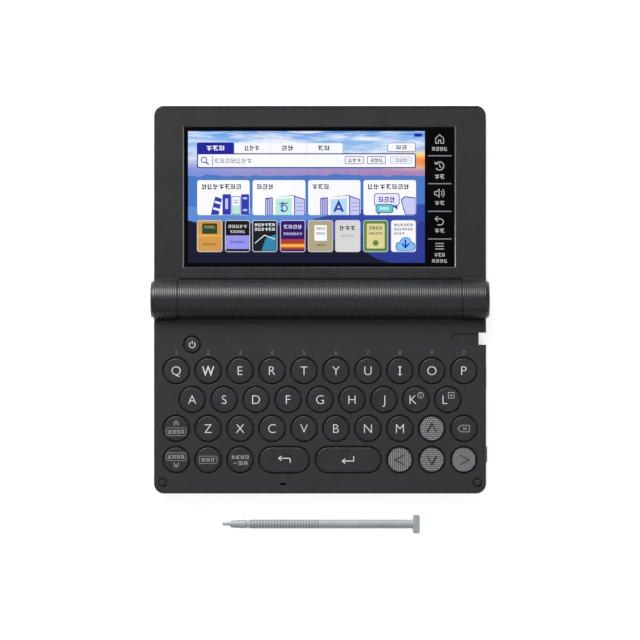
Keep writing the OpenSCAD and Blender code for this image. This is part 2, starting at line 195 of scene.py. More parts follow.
def raise_faces(bm, thick):
    """Extrudes all the faces upwards into a closed solid."""
    grown = bmesh.ops.extrude_face_region(bm, geom=bm.faces[:])
    bmesh.ops.translate(bm, verts=[g for g in grown["geom"] if is_vert(g)], vec=(0, 0, thick))


def plate(target, corners, z, thick, rounding=0.0, segments=5):
    """A flat plate from its corner points, with its corners rounded."""
    part = bmesh.new()
    verts = [part.verts.new((x, y, z)) for x, y in corners]
    part.faces.new(verts)
    if rounding:
        bmesh.ops.bevel(part, geom=verts, offset=rounding, offset_type="OFFSET", segments=segments,
                        profile=0.5, affect="VERTICES", material=-1)
    raise_faces(part, thick)
    bmesh.ops.recalc_face_normals(part, faces=part.faces)
    join(target, part)


def rectangle(x0, y0, x1, y1):
    return [(x0, y0), (x1, y0), (x1, y1), (x0, y1)]


def disc(target, x, y, radius, z, thick, segments=28):
    part = bmesh.new()
    bmesh.ops.create_circle(part, cap_ends=True, radius=radius, segments=segments)
    bmesh.ops.translate(part, verts=part.verts, vec=(x, y, z))
    raise_faces(part, thick)
    bmesh.ops.recalc_face_normals(part, faces=part.faces)
    join(target, part)


def line(target, points, width, z, thick, closed=False, rounding=0.0):
    """A raised line of even width with mitred or rounded corners."""
    part = bmesh.new()
    verts = [part.verts.new((x, y, z)) for x, y in points]
    for pair in zip(verts, verts[1:]):
        part.edges.new(pair)
    if closed:
        part.edges.new((verts[-1], verts[0]))
    if rounding:
        bends = verts if closed else verts[1:-1]
        bmesh.ops.bevel(part, geom=bends, offset=rounding, offset_type="OFFSET", segments=4,
                        profile=0.5, affect="VERTICES", material=-1)
    wall = bmesh.ops.extrude_edge_only(part, edges=part.edges[:])
    bmesh.ops.translate(part, verts=[g for g in wall["geom"] if is_vert(g)], vec=(0, 0, thick))
    bmesh.ops.recalc_face_normals(part, faces=part.faces)
    part.normal_update()
    for v in part.verts:
        v.co += v.normal * v.calc_shell_factor() * width / 2
    bmesh.ops.solidify(part, geom=part.faces[:], thickness=width)
    bmesh.ops.recalc_face_normals(part, faces=part.faces)
    join(target, part)


def circle_points(x, y, radius, start=0.0, end=360.0, count=20):
    """Points along a circle, from one angle in degrees to another."""
    angles = [math.radians(start + (end - start) * i / count) for i in range(count + 1)]
    return [(x + radius * math.cos(a), y + radius * math.sin(a)) for a in angles]


def ring(target, x, y, radius, width, z, thick, count=24):
    line(target, circle_points(x, y, radius, 0, 360, count)[:-1], width, z, thick, closed=True)


TURN_STEPS = 64


def spun(points, centre, axis, steps=TURN_STEPS, angle=FULL_TURN, closed=False):
    """A turned part: a chain of points spun round an axis."""
    part = bmesh.new()
    verts = [part.verts.new(p) for p in points]
    edges = [part.edges.new(pair) for pair in zip(verts, verts[1:])]
    if closed:
        edges.append(part.edges.new((verts[-1], verts[0])))
    whole = angle >= FULL_TURN - 0.001
    bmesh.ops.spin(part, geom=verts + edges, cent=centre, axis=axis, angle=angle, steps=steps,
                   use_merge=whole)
    bmesh.ops.remove_doubles(part, verts=part.verts, dist=SAME_POINT)
    if not whole:
        bmesh.ops.holes_fill(part, edges=open_edges(part))
    bmesh.ops.recalc_face_normals(part, faces=part.faces)
    return part


def spun_upright(section, x, y, steps=TURN_STEPS):
    """A half section of (radius, height) points, spun round an upright axis."""
    return spun([Vector((x, y + r, z)) for r, z in section], (x, y, 0), (0, 0, 1), steps=steps)


def quarter_arc(reach, height, radius, steps):
    """A rounded shoulder as (radius, height) points, from its side to its top."""
    turns = [i * math.pi / 2 / steps for i in range(steps + 1)]
    return [(reach + radius * math.cos(a), height + radius * math.sin(a)) for a in turns]


def part_middle_y(part):
    ys = [v.co.y for v in part.verts]
    return (min(ys) + max(ys)) / 2


def stretched(part, centre_x, length):
    """Pulls the two halves of a turned part apart along X, which makes a long one with round ends."""
    if length < 0.01:
        return part
    half_step = math.pi / TURN_STEPS
    bmesh.ops.rotate(part, verts=part.verts, cent=(centre_x, part_middle_y(part), 0),
                     matrix=Matrix.Rotation(half_step, 3, "Z"))
    for v in part.verts:
        if abs(v.co.x - centre_x) > 0.0001:
            v.co.x += math.copysign(length / 2, v.co.x - centre_x)
    return part


# %% [markdown]
# ## Signs that say nothing
# Labels in a script of dense square signs are suggested and not written: each sign is a few level and
# upright strokes in its own square, taken in turn from a short list. From a hand's breadth away a row of
# them reads as a line of print. Each stroke lies a hair higher than the one before, so that no two tops
# fall into one plane.

# %% Rows of signs
SIGN_STROKES = (
    ((0.06, 0.12, 0.94, 0.29), (0.40, 0.12, 0.60, 0.95), (0.18, 0.56, 0.96, 0.72)),
    ((0.06, 0.05, 0.26, 0.95), (0.06, 0.76, 0.92, 0.95), (0.52, 0.05, 0.72, 0.62)),
    ((0.10, 0.08, 0.90, 0.26), (0.70, 0.08, 0.90, 0.92), (0.05, 0.46, 0.60, 0.62),
     (0.05, 0.78, 0.60, 0.95)),
    ((0.05, 0.05, 0.92, 0.22), (0.05, 0.42, 0.72, 0.58), (0.26, 0.22, 0.46, 0.95),
     (0.62, 0.74, 0.94, 0.93)),
    ((0.05, 0.05, 0.30, 0.60), (0.45, 0.05, 0.62, 0.95), (0.62, 0.30, 0.96, 0.48), (0.05, 0.76, 0.45, 0.93)),
    ((0.08, 0.30, 0.94, 0.48), (0.10, 0.02, 0.30, 0.30), (0.62, 0.02, 0.80, 0.98), (0.10, 0.66, 0.48, 0.95)),
    ((0.05, 0.06, 0.55, 0.24), (0.05, 0.36, 0.55, 0.54), (0.05, 0.68, 0.94, 0.86), (0.70, 0.06, 0.90, 0.68)))
SIGN_STEP = 3
SIGN_FILL = 0.9


def sign_strokes(x0, x1, y0, y1, count):
    """Rectangles for a row of signs, each with a small number that tells overlapping strokes apart."""
    step = (x1 - x0) / count
    strokes = []
    for i in range(count):
        left = x0 + (i + (1 - SIGN_FILL) / 2) * step
        kind = (round(x0) + i * SIGN_STEP) % len(SIGN_STROKES)
        for order, (a, b, c, d) in enumerate(SIGN_STROKES[kind]):
            strokes.append((left + a * step * SIGN_FILL, y0 + b * (y1 - y0),
                            left + c * step * SIGN_FILL, y0 + d * (y1 - y0), order))
    return strokes


# %% [markdown]
# ## Letters
# Legends on keys are printed, so they stand only a hair above the cap. A text curve is made a mesh
# first and then scaled to the height that a capital has, and moved to its place.

# %% A line of text as a thin raised print
PRINT = 0.02
OVERLAP = 0.004
CAPITAL = 0.682
LETTER_THINNING = -0.016
HALF_DEPTH = 0.01


def letters(target, text, x, y, height, z, thick=PRINT):
    """Adds centred text of a given capital height to a bmesh."""
    curve = bpy.data.curves.new("letters", "FONT")
    curve.body = text
    curve.align_x = "CENTER"
    curve.resolution_u = 5
    curve.extrude = HALF_DEPTH
    curve.offset = LETTER_THINNING
    holder = bpy.data.objects.new("letters", curve)
    scene.collection.objects.link(holder)
    mesh = bpy.data.meshes.new_from_object(holder.evaluated_get(bpy.context.evaluated_depsgraph_get()))
    bpy.data.objects.remove(holder)
    part = bmesh.new()
    part.from_mesh(mesh)
    bpy.data.meshes.remove(mesh)
    bmesh.ops.remove_doubles(part, verts=part.verts, dist=0.00002)
    size = height / CAPITAL
    left = min(v.co.x for v in part.verts)
    right = max(v.co.x for v in part.verts)
    bmesh.ops.translate(part, verts=part.verts, vec=(-(left + right) / 2, -CAPITAL / 2, HALF_DEPTH))
    bmesh.ops.scale(part, vec=(size, size, thick / (2 * HALF_DEPTH)), verts=part.verts)
    bmesh.ops.translate(part, verts=part.verts, vec=(x, y, z))
    join(target, part)


# %% [markdown]
# ## Copies of CAD meshes, and cutting
# The key deck has 38 holes, a scoop, a notch and sockets, all in their exact places in the CAD mesh.
# Modelling them again would only add mistakes, so a copy of that mesh is merged, its flat triangles are
# dissolved, and boolean cuts then give it what the CAD leaves plain: rounded outer edges and soft rims.

# %% Merging a CAD copy and cutting one solid with another


def cad_copy(node):
    """A merged copy of a CAD node, in millimetres."""
    part = bmesh.new()
    part.from_mesh(frame["nodes"][node].data)
    bmesh.ops.scale(part, vec=(1 / MM, 1 / MM, 1 / MM), verts=part.verts)
    bmesh.ops.remove_doubles(part, verts=part.verts, dist=0.001)
    bmesh.ops.dissolve_limit(part, angle_limit=math.radians(0.4), verts=part.verts, edges=part.edges)
    return part


def combined(first, second, operation="DIFFERENCE"):
    """Boolean of two closed bmeshes: the first is kept, cut or trimmed by the second."""
    holders = []
    for part in (first, second):
        mesh = bpy.data.meshes.new("boolean")
        part.to_mesh(mesh)
        part.free()
        holder = bpy.data.objects.new("boolean", mesh)
        scene.collection.objects.link(holder)
        holders.append(holder)
    cut = holders[0].modifiers.new("cut", "BOOLEAN")
    cut.object = holders[1]
    cut.operation = operation
    cut.solver = "EXACT"
    result = bmesh.new()
    result.from_object(holders[0], bpy.context.evaluated_depsgraph_get())
    for holder in holders:
        mesh = holder.data
        bpy.data.objects.remove(holder)
        bpy.data.meshes.remove(mesh)
    return result


CASE_CORNER = 4.0


def soft_block(x0, y0, x1, y1, z0, z1, corner=CASE_CORNER, low_edge=0.0, high_edge=0.0):
    """A block with round upright corners and rounded lower and upper edges, to trim shells with."""
    part = bmesh.new()
    plate(part, rectangle(x0, y0, x1, y1), z0, z1 - z0, rounding=corner, segments=12)
    for level, size in ((z0, low_edge), (z1, high_edge)):
        if size:
            rim = [e for e in part.edges if all(abs(v.co.z - level) < 0.001 for v in e.verts)]
            bmesh.ops.bevel(part, geom=rim, offset=size, offset_type="OFFSET", segments=5,
                            profile=0.5, affect="EDGES", material=-1)
    bmesh.ops.recalc_face_normals(part, faces=part.faces)
    return part


def flared_rectangle(x0, y0, x1, y1, levels):
    """A rectangular plug. Each level is (how far it reaches outwards, height)."""
    part = bmesh.new()
    reach, z = levels[0]
    verts = [part.verts.new((x, y, z)) for x, y in rectangle(x0 - reach, y0 - reach, x1 + reach, y1 + reach)]
    edges = [part.edges.new((verts[i], verts[(i + 1) % 4])) for i in range(4)]
    part.faces.new(verts)
    centre = ((x0 + x1) / 2, (y0 + y1) / 2)
    for next_reach, next_z in levels[1:]:
        grown = bmesh.ops.extrude_edge_only(part, edges=edges)["geom"]
        edges = [g for g in grown if isinstance(g, bmesh.types.BMEdge)]
        for v in (g for g in grown if is_vert(g)):
            v.co.x += math.copysign(next_reach - reach, v.co.x - centre[0])
            v.co.y += math.copysign(next_reach - reach, v.co.y - centre[1])
            v.co.z = next_z
        reach = next_reach
    bmesh.ops.holes_fill(part, edges=open_edges(part))
    bmesh.ops.recalc_face_normals(part, faces=part.faces)
    return part


# %% [markdown]
# ## Finishes
# Moulded plastic is never one flat colour. The mould's own grain breaks up its gloss, fingers leave
# smoother patches, dust settles, fine scratches run over it, and its edges get polished. Each of these is
# a node group with its own inputs, and every material below mixes them in its own amounts.

# %% Helpers for node trees


def linear(hex_colour):
    """A colour from its hex code, in the linear values that shaders use."""
    values = [int(hex_colour[i:i + 2], 16) / 255 for i in (1, 3, 5)]
    parts = [v / 12.92 if v <= 0.04045 else ((v + 0.055) / 1.055) ** 2.4 for v in values]
    return (*parts, 1.0)


class Tree:
    """A thin wrapper round a node tree: add nodes with their values and links in one line each."""

    def __init__(self, tree):
        self.tree = tree

    def add(self, kind, settings=None, **inputs):
        made = self.tree.nodes.new(kind)
        for name, value in (settings or {}).items():
            setattr(made, name, value)
        for name, value in inputs.items():
            self.put(made, name.replace("_", " "), value)
        return made

    def put(self, made, name, value):
        socket = made.inputs[int(name)] if name.isdigit() else made.inputs[name]
        if isinstance(value, bpy.types.NodeSocket):
            self.tree.links.new(value, socket)
        else:
            socket.default_value = value

    def math(self, operation, a, b=0.0, clamp=False):
        made = self.tree.nodes.new("ShaderNodeMath")
        made.operation = operation
        made.use_clamp = clamp
        self.put(made, "0", a)
        self.put(made, "1", b)
        return made.outputs[0]

    def mix(self, amount, a, b, blend="MIX"):
        made = self.tree.nodes.new("ShaderNodeMix")
        made.data_type = "RGBA"
        made.blend_type = blend
        self.put(made, "0", amount)
        self.put(made, "6", a)
        self.put(made, "7", b)
        return made.outputs[2]

    def between(self, value, low, high, to_low=0.0, to_high=1.0):
        made = self.add("ShaderNodeMapRange", {"clamp": True}, Value=value)
        for name, number in (("From Min", low), ("From Max", high), ("To Min", to_low), ("To Max", to_high)):
            made.inputs[name].default_value = number
        return made.outputs[0]

    def place(self, scale=(1, 1, 1), offset=(0, 0, 0), turn=0.0):
        """Object coordinates, moved, turned round Z and scaled."""
        where = self.add("ShaderNodeTexCoord").outputs["Object"]
        made = self.add("ShaderNodeMapping", Vector=where, Scale=scale, Location=offset)
        made.inputs["Rotation"].default_value = (0, 0, turn)
        return made.outputs[0]


def new_material(name):
    """An empty material, with its tree and its shader."""
    material = bpy.data.materials.new(name)
    material.use_nodes = True
    return material, Tree(material.node_tree), material.node_tree.nodes["Principled BSDF"]


def new_group(name, inputs, outputs):
    """An empty node group with named inputs and outputs."""
    tree = bpy.data.node_groups.new(name, "ShaderNodeTree")
    for label, kind, value in inputs:
        socket = tree.interface.new_socket(label, in_out="INPUT", socket_type=kind)
        if value is not None:
            socket.default_value = value
    for label, kind in outputs:
        tree.interface.new_socket(label, in_out="OUTPUT", socket_type=kind)
    source = tree.nodes.new("NodeGroupInput")
    target = tree.nodes.new("NodeGroupOutput")
    return tree, Tree(tree), source, target


FLOAT = "NodeSocketFloat"
VECTOR = "NodeSocketVector"
DUST_COLOUR = "#9a9790"
COAT_ROUGHNESS = 0.12

# %% [markdown]
# ### Grain, handling and edge wear
# The grain is a fine noise for the height, and a coarser one for the slight cloudiness of the colour. The
# handling group gives three masks: broad smudges, sparse dust specks and fine scratches. Edge wear compares
# the surface's normal with one that a Bevel node has smoothed: the two differ only close to an edge.

# %% The shared groups
grain_tree, g, g_in, g_out = new_group(
    "moulded_grain",
    [("Vector", VECTOR, None), ("Fineness", FLOAT, 6000.0)],
    [("Height", FLOAT), ("Cloud", FLOAT)])
fine = g.add("ShaderNodeTexNoise", Vector=g_in.outputs["Vector"], Scale=g_in.outputs["Fineness"],
             Detail=3.0, Roughness=0.6)
pits = g.add("ShaderNodeTexVoronoi", {"feature": "SMOOTH_F1"}, Vector=g_in.outputs["Vector"],
             Scale=g.math("MULTIPLY", g_in.outputs["Fineness"], 0.7))
cloud = g.add("ShaderNodeTexNoise", Vector=g_in.outputs["Vector"],
              Scale=g.math("MULTIPLY", g_in.outputs["Fineness"], 0.012), Detail=4.0)
g.put(g_out, "Height", g.math("ADD", fine.outputs["Fac"], g.math("MULTIPLY", pits.outputs["Distance"], 0.6)))
g.put(g_out, "Cloud", g.between(cloud.outputs["Fac"], 0.35, 0.65))

handling_tree, g, g_in, g_out = new_group(
    "handling",
    [("Vector", VECTOR, None)],
    [("Smudge", FLOAT), ("Dust", FLOAT), ("Scratch", FLOAT)])
where = g_in.outputs["Vector"]
smear = g.add("ShaderNodeTexNoise", Vector=where, Scale=70.0, Detail=3.0, Distortion=1.5)
g.put(g_out, "Smudge", g.between(smear.outputs["Fac"], 0.48, 0.72))
specks = g.add("ShaderNodeTexVoronoi", Vector=where, Scale=420.0, Randomness=1.0)
patch = g.add("ShaderNodeTexNoise", Vector=where, Scale=120.0, Detail=1.0)
near_speck = g.between(specks.outputs["Distance"], 0.03, 0.06, 1.0, 0.0)
g.put(g_out, "Dust", g.math("MULTIPLY", near_speck, g.between(patch.outputs["Fac"], 0.5, 0.62)))
streak = g.add("ShaderNodeMapping", Vector=where, Scale=(60.0, 2400.0, 60.0))
streak.inputs["Rotation"].default_value = (0, 0, 0.5)
lines = g.add("ShaderNodeTexNoise", Vector=streak.outputs[0], Scale=1.0, Detail=2.0)
g.put(g_out, "Scratch", g.between(lines.outputs["Fac"], 0.69, 0.74))

wear_tree, g, g_in, g_out = new_group(
    "edge_wear",
    [("Vector", VECTOR, None), ("Reach", FLOAT, 0.0003)],
    [("Edge", FLOAT)])
softened = g.add("ShaderNodeBevel", {"samples": 4}, Radius=g_in.outputs["Reach"])
plain = g.add("ShaderNodeNewGeometry")
alike = g.add("ShaderNodeVectorMath", {"operation": "DOT_PRODUCT"})
g.put(alike, "0", softened.outputs[0])
g.put(alike, "1", plain.outputs["Normal"])
worn = g.between(alike.outputs["Value"], 0.995, 0.90)
broken = g.add("ShaderNodeTexNoise", Vector=g_in.outputs["Vector"], Scale=900.0, Detail=4.0)
g.put(g_out, "Edge", g.math("MULTIPLY", worn, g.between(broken.outputs["Fac"], 0.35, 0.6)))
print("node groups:", [t.name for t in bpy.data.node_groups])

# %% [markdown]
# ### One recipe for all solid finishes
# Every plastic, rubber and metal part uses the same recipe with its own numbers. The colour is varied by the
# grain's cloudiness, lightened on edges and by dust. The roughness is varied by smudges and scratches. The
# grain drives a Bump node. Numbers that are the same all over go straight on the shader's own sockets.

# %% The recipe


def finish(name, colour, roughness, fineness=6000.0, depth=0.00001, cloudiness=0.10, edge=None, dust=0.25,
           metallic=0.0, scratch=0.25, smudge=0.08, specular=0.5, coat=0.0):
    """A procedural material for moulded, painted or metal parts."""
    material, t, shader = new_material(name)
    at = t.add("ShaderNodeTexCoord").outputs["Object"]
    grain = t.add("ShaderNodeGroup", {"node_tree": grain_tree}, Vector=at, Fineness=fineness)
    marks = t.add("ShaderNodeGroup", {"node_tree": handling_tree}, Vector=at)
    base = linear(colour)
    deep = tuple(c * (1 - cloudiness) for c in base[:3]) + (1.0,)
    light = tuple(min(1.0, c * (1 + cloudiness)) for c in base[:3]) + (1.0,)
    tint = t.mix(grain.outputs["Cloud"], deep, light)
    if edge:
        wear = t.add("ShaderNodeGroup", {"node_tree": wear_tree}, Vector=at)
        tint = t.mix(wear.outputs["Edge"], tint, linear(edge))
    dusty = t.math("MULTIPLY", marks.outputs["Dust"], dust)
    t.put(shader, "Base Color", t.mix(dusty, tint, linear(DUST_COLOUR)))
    rough = t.math("MULTIPLY_ADD", marks.outputs["Smudge"], -smudge)
    rough.node.inputs[2].default_value = roughness
    rough = t.math("ADD", rough, t.math("MULTIPLY", marks.outputs["Scratch"], scratch), clamp=True)
    t.put(shader, "Roughness", rough)
    bump = t.add("ShaderNodeBump", Height=grain.outputs["Height"], Strength=1.0, Distance=depth)
    t.put(shader, "Normal", bump.outputs[0])
    shader.inputs["Metallic"].default_value = metallic
    shader.inputs["Specular IOR Level"].default_value = specular
    shader.inputs["Coat Weight"].default_value = coat
    shader.inputs["Coat Roughness"].default_value = COAT_ROUGHNESS
    return material


deck_plastic = finish("deck_plastic", "#17171a", 0.50, 7000, 0.000014, edge="#2c2c30", smudge=0.04)
case_plastic = finish("case_plastic", "#18181a", 0.55, 4500, 0.000022, edge="#2c2c2f")
lid_plastic = finish("lid_plastic", "#19191c", 0.50, 5000, 0.000020, edge="#2e2e31")
bezel_plastic = finish("bezel_plastic", "#151518", 0.52, 7500, 0.000012, edge="#2e2e32", specular=0.42)
barrel_plastic = finish("barrel_plastic", "#161619", 0.41, 8000, 0.000001, cloudiness=0.05, dust=0.15,
                        scratch=0.05, smudge=0.03)
key_plastic = finish("key_plastic", "#19191c", 0.46, 9000, 0.000010, edge="#36363a")
stylus_plastic = finish("stylus_plastic", "#94979a", 0.40, 7000, 0.000012, cloudiness=0.05)
# A darker grey for the grooves of the grip: painted shade.
stylus_groove = finish("stylus_groove", "#75787b", 0.45, 7000, 0.000012, cloudiness=0.05)
foot_rubber = finish("foot_rubber", "#1b1b1c", 0.85, 3000, 0.00004, dust=0.7)
membrane_rubber = finish("membrane_rubber", "#6e7276", 0.75, 2500, 0.00003)
circuit_board = finish("circuit_board", "#1f5a38", 0.45, 1500, 0.00001, cloudiness=0.2)
speaker_can = finish("speaker_can", "#34383e", 0.4, 3000, 0.00002)
plated_steel = finish("plated_steel", "#b9bdc2", 0.28, 2500, 0.000006, metallic=1.0, dust=0.1)
screw_steel = finish("screw_steel", "#6d6f72", 0.35, 3000, 0.000012, metallic=1.0)
pin_steel = finish("pin_steel", "#a8aaad", 0.3, 2500, 0.000008, metallic=1.0)
jack_plastic = finish("jack_plastic", "#161618", 0.38, 6000, 0.00001, edge="#2c2c2e")
cell_jacket = finish("cell_jacket", "#b4b0a2", 0.35, 2000, 0.000006, coat=0.3)
ribbon_film = finish("ribbon", "#a97a33", 0.3, 2500, 0.000006, coat=0.3)
lcd_frame = finish("lcd_frame", "#8f9498", 0.35, 2500, 0.00001, metallic=0.8)
legend_ink = finish("legend_ink", "#cdcdd0", 0.5, 12000, 0.000004, cloudiness=0.06, dust=0.1)
dim_ink = finish("dim_ink", "#6c6c70", 0.5, 12000, 0.000004, cloudiness=0.08, dust=0.1)
screen_glass = finish("screen_glass", "#030304", 0.10, 1500, 0.0000008, dust=0.2, smudge=0.02,
                      scratch=0.08, specular=0.1)
# A pale, glossy finish for the upright faces of the window's edge: the pale colour is a painted highlight.
window_trim = finish("window_trim", "#6e6c6a", 0.26, 7500, 0.000004)
icon_ink = finish("icon_ink", "#8b8b8e", 0.5, 12000, 0.000004, cloudiness=0.06, dust=0.1)
print("finishes:", len(bpy.data.materials))

# %% [markdown]
# ## Parts that keep their CAD mesh
# Everything inside the case, and small fittings whose plain shape is the true one, stay as the CAD has
# them and only get their finish.

# %% Finishes for the CAD nodes
CAD_FINISHES = {
    "battery_door": case_plastic, "aa_cells": cell_jacket, "battery_contacts": plated_steel,
    "key_membrane": membrane_rubber, "main_board": circuit_board, "speaker": speaker_can,
    "rubber_feet": foot_rubber, "case_screws": screw_steel, "usb_socket": plated_steel,
    "earphone_jack": jack_plastic, "hinge_pins": pin_steel, "lcd_module": lcd_frame,
    "touch_panel": screen_glass, "display_cable": ribbon_film, "hinge_end_caps": barrel_plastic}
for node, material in CAD_FINISHES.items():
    mesh = frame["nodes"][node].data
    mesh.materials.clear()
    mesh.materials.append(material)
print("CAD nodes kept:", len(CAD_FINISHES))

# %% [markdown]
# ## Key deck
# On the real case the deck's outer edge is rounded like a pebble and each key hole has a soft rim, because
# a mould can't make a knife edge. The CAD copy is trimmed with a rounded block, which softens the outline
# in one cut, and then a set of trumpet-shaped plugs takes the sharp rim off every key hole.

# %% Trim the deck and soften the key holes
HAIR = 0.01
FACE_HAIR = 0.004
PLUG_HAIR = 0.003
KEY_GAP = 0.55
LIP = 0.28
FLANGE = 0.85
deck_low, deck_high = box_mm("key_deck")
FAR_OFF = 30.0
key_nodes = [n for n in frame["nodes"] if n.startswith("key_") and n not in ("key_deck", "key_membrane")]


def key_shape(node):
    """Centre, cap radius and straight length of a key, from its CAD box."""
    low, high = box_mm(node)
    radius = (high.y - low.y) / 2 - FLANGE
    stretch = (high.x - low.x) - (high.y - low.y)
    return (low + high) / 2, radius, stretch, low.z, high.z


def lip_profile(radius, top, lip, steps=4):
    """Half section of a plug that flares out below a plate's top face."""
    turns = [i * math.pi / 2 / steps for i in range(steps + 1)]
    arc = [(radius + lip - lip * math.cos(a), top - lip + lip * math.sin(a)) for a in turns]
    return [(0, top - 2 * lip), (radius, top - 2 * lip)] + arc + [(radius + lip, top + 1), (0, top + 1)]


plugs = bmesh.new()
for node in key_nodes:
    middle, radius, stretch, _, _ = key_shape(node)
    section = lip_profile(radius + KEY_GAP - PLUG_HAIR, deck_high.z - FACE_HAIR, LIP)
    join(plugs, stretched(spun_upright(section, middle.x, middle.y), middle.x, stretch))

stop_low, stop_high = box_mm("lid_bumpers")
stop_radius = (stop_high.y - stop_low.y) / 2
stop_y = (stop_low.y + stop_high.y) / 2
stop_places = (stop_low.x + stop_radius, stop_high.x - stop_radius)
STOP_GAP = 0.42
STOP_LIP = 0.22
STOP_STEPS = 40
for x in stop_places:
    section = lip_profile(stop_radius + STOP_GAP - PLUG_HAIR, deck_high.z - FACE_HAIR, STOP_LIP)
    join(plugs, spun_upright(section, x, stop_y, STOP_STEPS))

trim = soft_block(deck_low.x + HAIR, deck_low.y + HAIR, deck_high.x - HAIR, deck_high.y + FAR_OFF,
                  deck_low.z, deck_high.z - FACE_HAIR, low_edge=0.15, high_edge=1.0)
deck = combined(cad_copy("key_deck"), trim, "INTERSECT")
deck = combined(deck, plugs)
print("deck faces:", len(deck.faces), "open edges:", len(open_edges(deck)))
make_piece(deck, "deck_shell", deck_plastic, "base", ["key_deck"], weighted=True)

# %% [markdown]
# ## Keys
# A cap is a turned part: flange below the deck, straight side and rounded shoulder. The long keys are the
# same turned part pulled apart at its middle. Each key rides on its own body, so it can be pressed.

# %% Caps
SHOULDER = 0.32
FLANGE_THICK = 0.4


def cap_profile(radius, low, high):
    rim = low + FLANGE_THICK
    side = [(0, low), (radius + FLANGE, low), (radius + FLANGE, rim), (radius, rim)]
    shoulder = quarter_arc(radius - SHOULDER, high - SHOULDER, SHOULDER, 5)
    return side + shoulder + [(radius / 2, high), (0, high)]


key_faces = 0
for node in key_nodes:
    middle, radius, stretch, low, high = key_shape(node)
    cap = stretched(spun_upright(cap_profile(radius, low, high), middle.x, middle.y), middle.x, stretch)
    key_faces += len(cap.faces)
    make_piece(cap, node + "_cap", key_plastic, node, [node], weighted=True)
print("key caps:", len(key_nodes), "faces:", key_faces)

# %% [markdown]
# ## Legends
# The letters and digits of a keyboard are printed in off-white. Icons stand where the real keys carry words
# or symbols: each is drawn with the same plates and lines. F and J also have a small raised nub that
# fingers find without looking.

# %% Letters and digits
LETTER_HEIGHT = 3.5
DIGIT_HEIGHT = 1.65
SIDE_STEP = 1.15
LETTER_STROKE = 0.44
SERIF = 0.34
BADGE_STROKE = 0.13
BADGE_RADIUS = 1.12
NUB_WIDTH = 1.3
NUB_HALF_DEPTH = 0.2
NUB_DROP = 3.1
SINK = 0.006
DIGIT_OFFSET = 7.2


def legend_on(node, draw, material=legend_ink):
    """Prints a legend on a key: draw gets the bmesh, the key's middle and the height of its top."""
    middle, _, _, _, high = key_shape(node)
    bm = bmesh.new()
    draw(bm, middle.x, middle.y, high - SINK)
    make_piece(bm, node + "_legend", material, node, smooth=20)


def letter_drawer(letter):
    def draw(bm, x, y, z):
        half = LETTER_HEIGHT / 2
        if letter == "W":
            zigzag = [(-2.15, half), (-1.1, 0.25 - half), (0, half - 0.15), (1.1, 0.25 - half), (2.15, half)]
            line(bm, [(x + dx, y + dy) for dx, dy in zigzag], LETTER_STROKE, z, PRINT)
        elif letter == "I":
            plate(bm, rectangle(x - LETTER_STROKE / 2, y - half, x + LETTER_STROKE / 2, y + half), z, PRINT)
            for dy in (-half, half - SERIF):
                plate(bm, rectangle(x - 0.65, y + dy, x + 0.65, y + dy + SERIF), z, PRINT + OVERLAP)
        else:
            shift = -SIDE_STEP if letter in "KL" else 0.0
            letters(bm, letter, x + shift, y, LETTER_HEIGHT, z)
        if letter == "K":
            badge_x, badge_y = x + 1.85, y + 1.75
            ring(bm, badge_x, badge_y, BADGE_RADIUS, BADGE_STROKE, z, PRINT)
            letters(bm, "?", badge_x, badge_y, 1.25, z)
        if letter == "L":
            line(bm, rectangle(x + 0.2, y + 0.6, x + 2.45, y + 2.85), BADGE_STROKE, z, PRINT, closed=True)
            disc(bm, x + 1.325, y + 1.725, 0.3, z, PRINT, 12)
    return draw


for node in key_nodes:
    label = node.replace("key_", "")
    if len(label) == 1:
        legend_on(node, letter_drawer(label.upper()))
    if label in ("f", "j"):
        middle, _, _, _, high = key_shape(node)
        nub = bmesh.new()
        nub_y = middle.y - NUB_DROP
        plate(nub, rectangle(middle.x - NUB_WIDTH / 2, nub_y - NUB_HALF_DEPTH, middle.x + NUB_WIDTH / 2,
                             nub_y + NUB_HALF_DEPTH), high - HAIR, 0.16, NUB_HALF_DEPTH - HAIR)
        make_piece(nub, node + "_nub", key_plastic, node)

digits = bmesh.new()
for digit, label in zip("1234567890", "qwertyuiop"):
    middle = middle_mm("key_" + label)
    letters(digits, digit, middle.x, middle.y + DIGIT_OFFSET, DIGIT_HEIGHT, deck_high.z - 2 * SINK)
make_piece(digits, "deck_digits", dim_ink, "base", smooth=20)
print("letters and digits printed")

# %% [markdown]
# ### Icons on the command keys
# Power is a broken ring with a stroke. The page keys pair an outlined label with a double chevron, shift is
# an outlined label, and delete, back and enter carry small arrows. The labels are rows of signs.

# %% Icons
OUTLINE = 0.16
THIN = 0.25
MEDIUM = 0.27
THICK = 0.34
LABEL_WIDE = 7.8
LABEL_HIGH = 3.1


def signs(bm, x, y, width, height, count, z):
    """A row of signs, centred on a place."""
    left, low = x - width / 2, y - height / 2
    for x0, y0, x1, y1, order in sign_strokes(left, left + width, low, low + height, count):
        plate(bm, rectangle(x0, y0, x1, y1), z, PRINT + order * 0.002)


def chevrons(bm, x, y, half_width, drop, spacing, z, up):
    """Two chevrons, one above the other, pointing up or down."""
    tip = drop if up else -drop
    for level in (0, spacing):
        line(bm, [(x - half_width, y + level), (x, y + level + tip), (x + half_width, y + level)],
             0.26, z, PRINT)


def draw_power(bm, x, y, z):
    line(bm, circle_points(x, y - 0.1, 1.15, 125, 415, 20), MEDIUM, z, PRINT)
    line(bm, [(x, y + 0.1), (x, y + 1.5)], MEDIUM, z, PRINT)


def label_box(bm, x, y, width, height, z, count):
    line(bm, rectangle(x - width / 2, y - height / 2, x + width / 2, y + height / 2), OUTLINE, z, PRINT,
         closed=True, rounding=0.7)
    signs(bm, x, y, width - 1.1, height - 1.3, count, z)


def draw_previous(bm, x, y, z):
    chevrons(bm, x, y + 1.25, 1.1, 0.95, 0.9, z, True)
    label_box(bm, x, y - 1.25, LABEL_WIDE, LABEL_HIGH, z, 4)


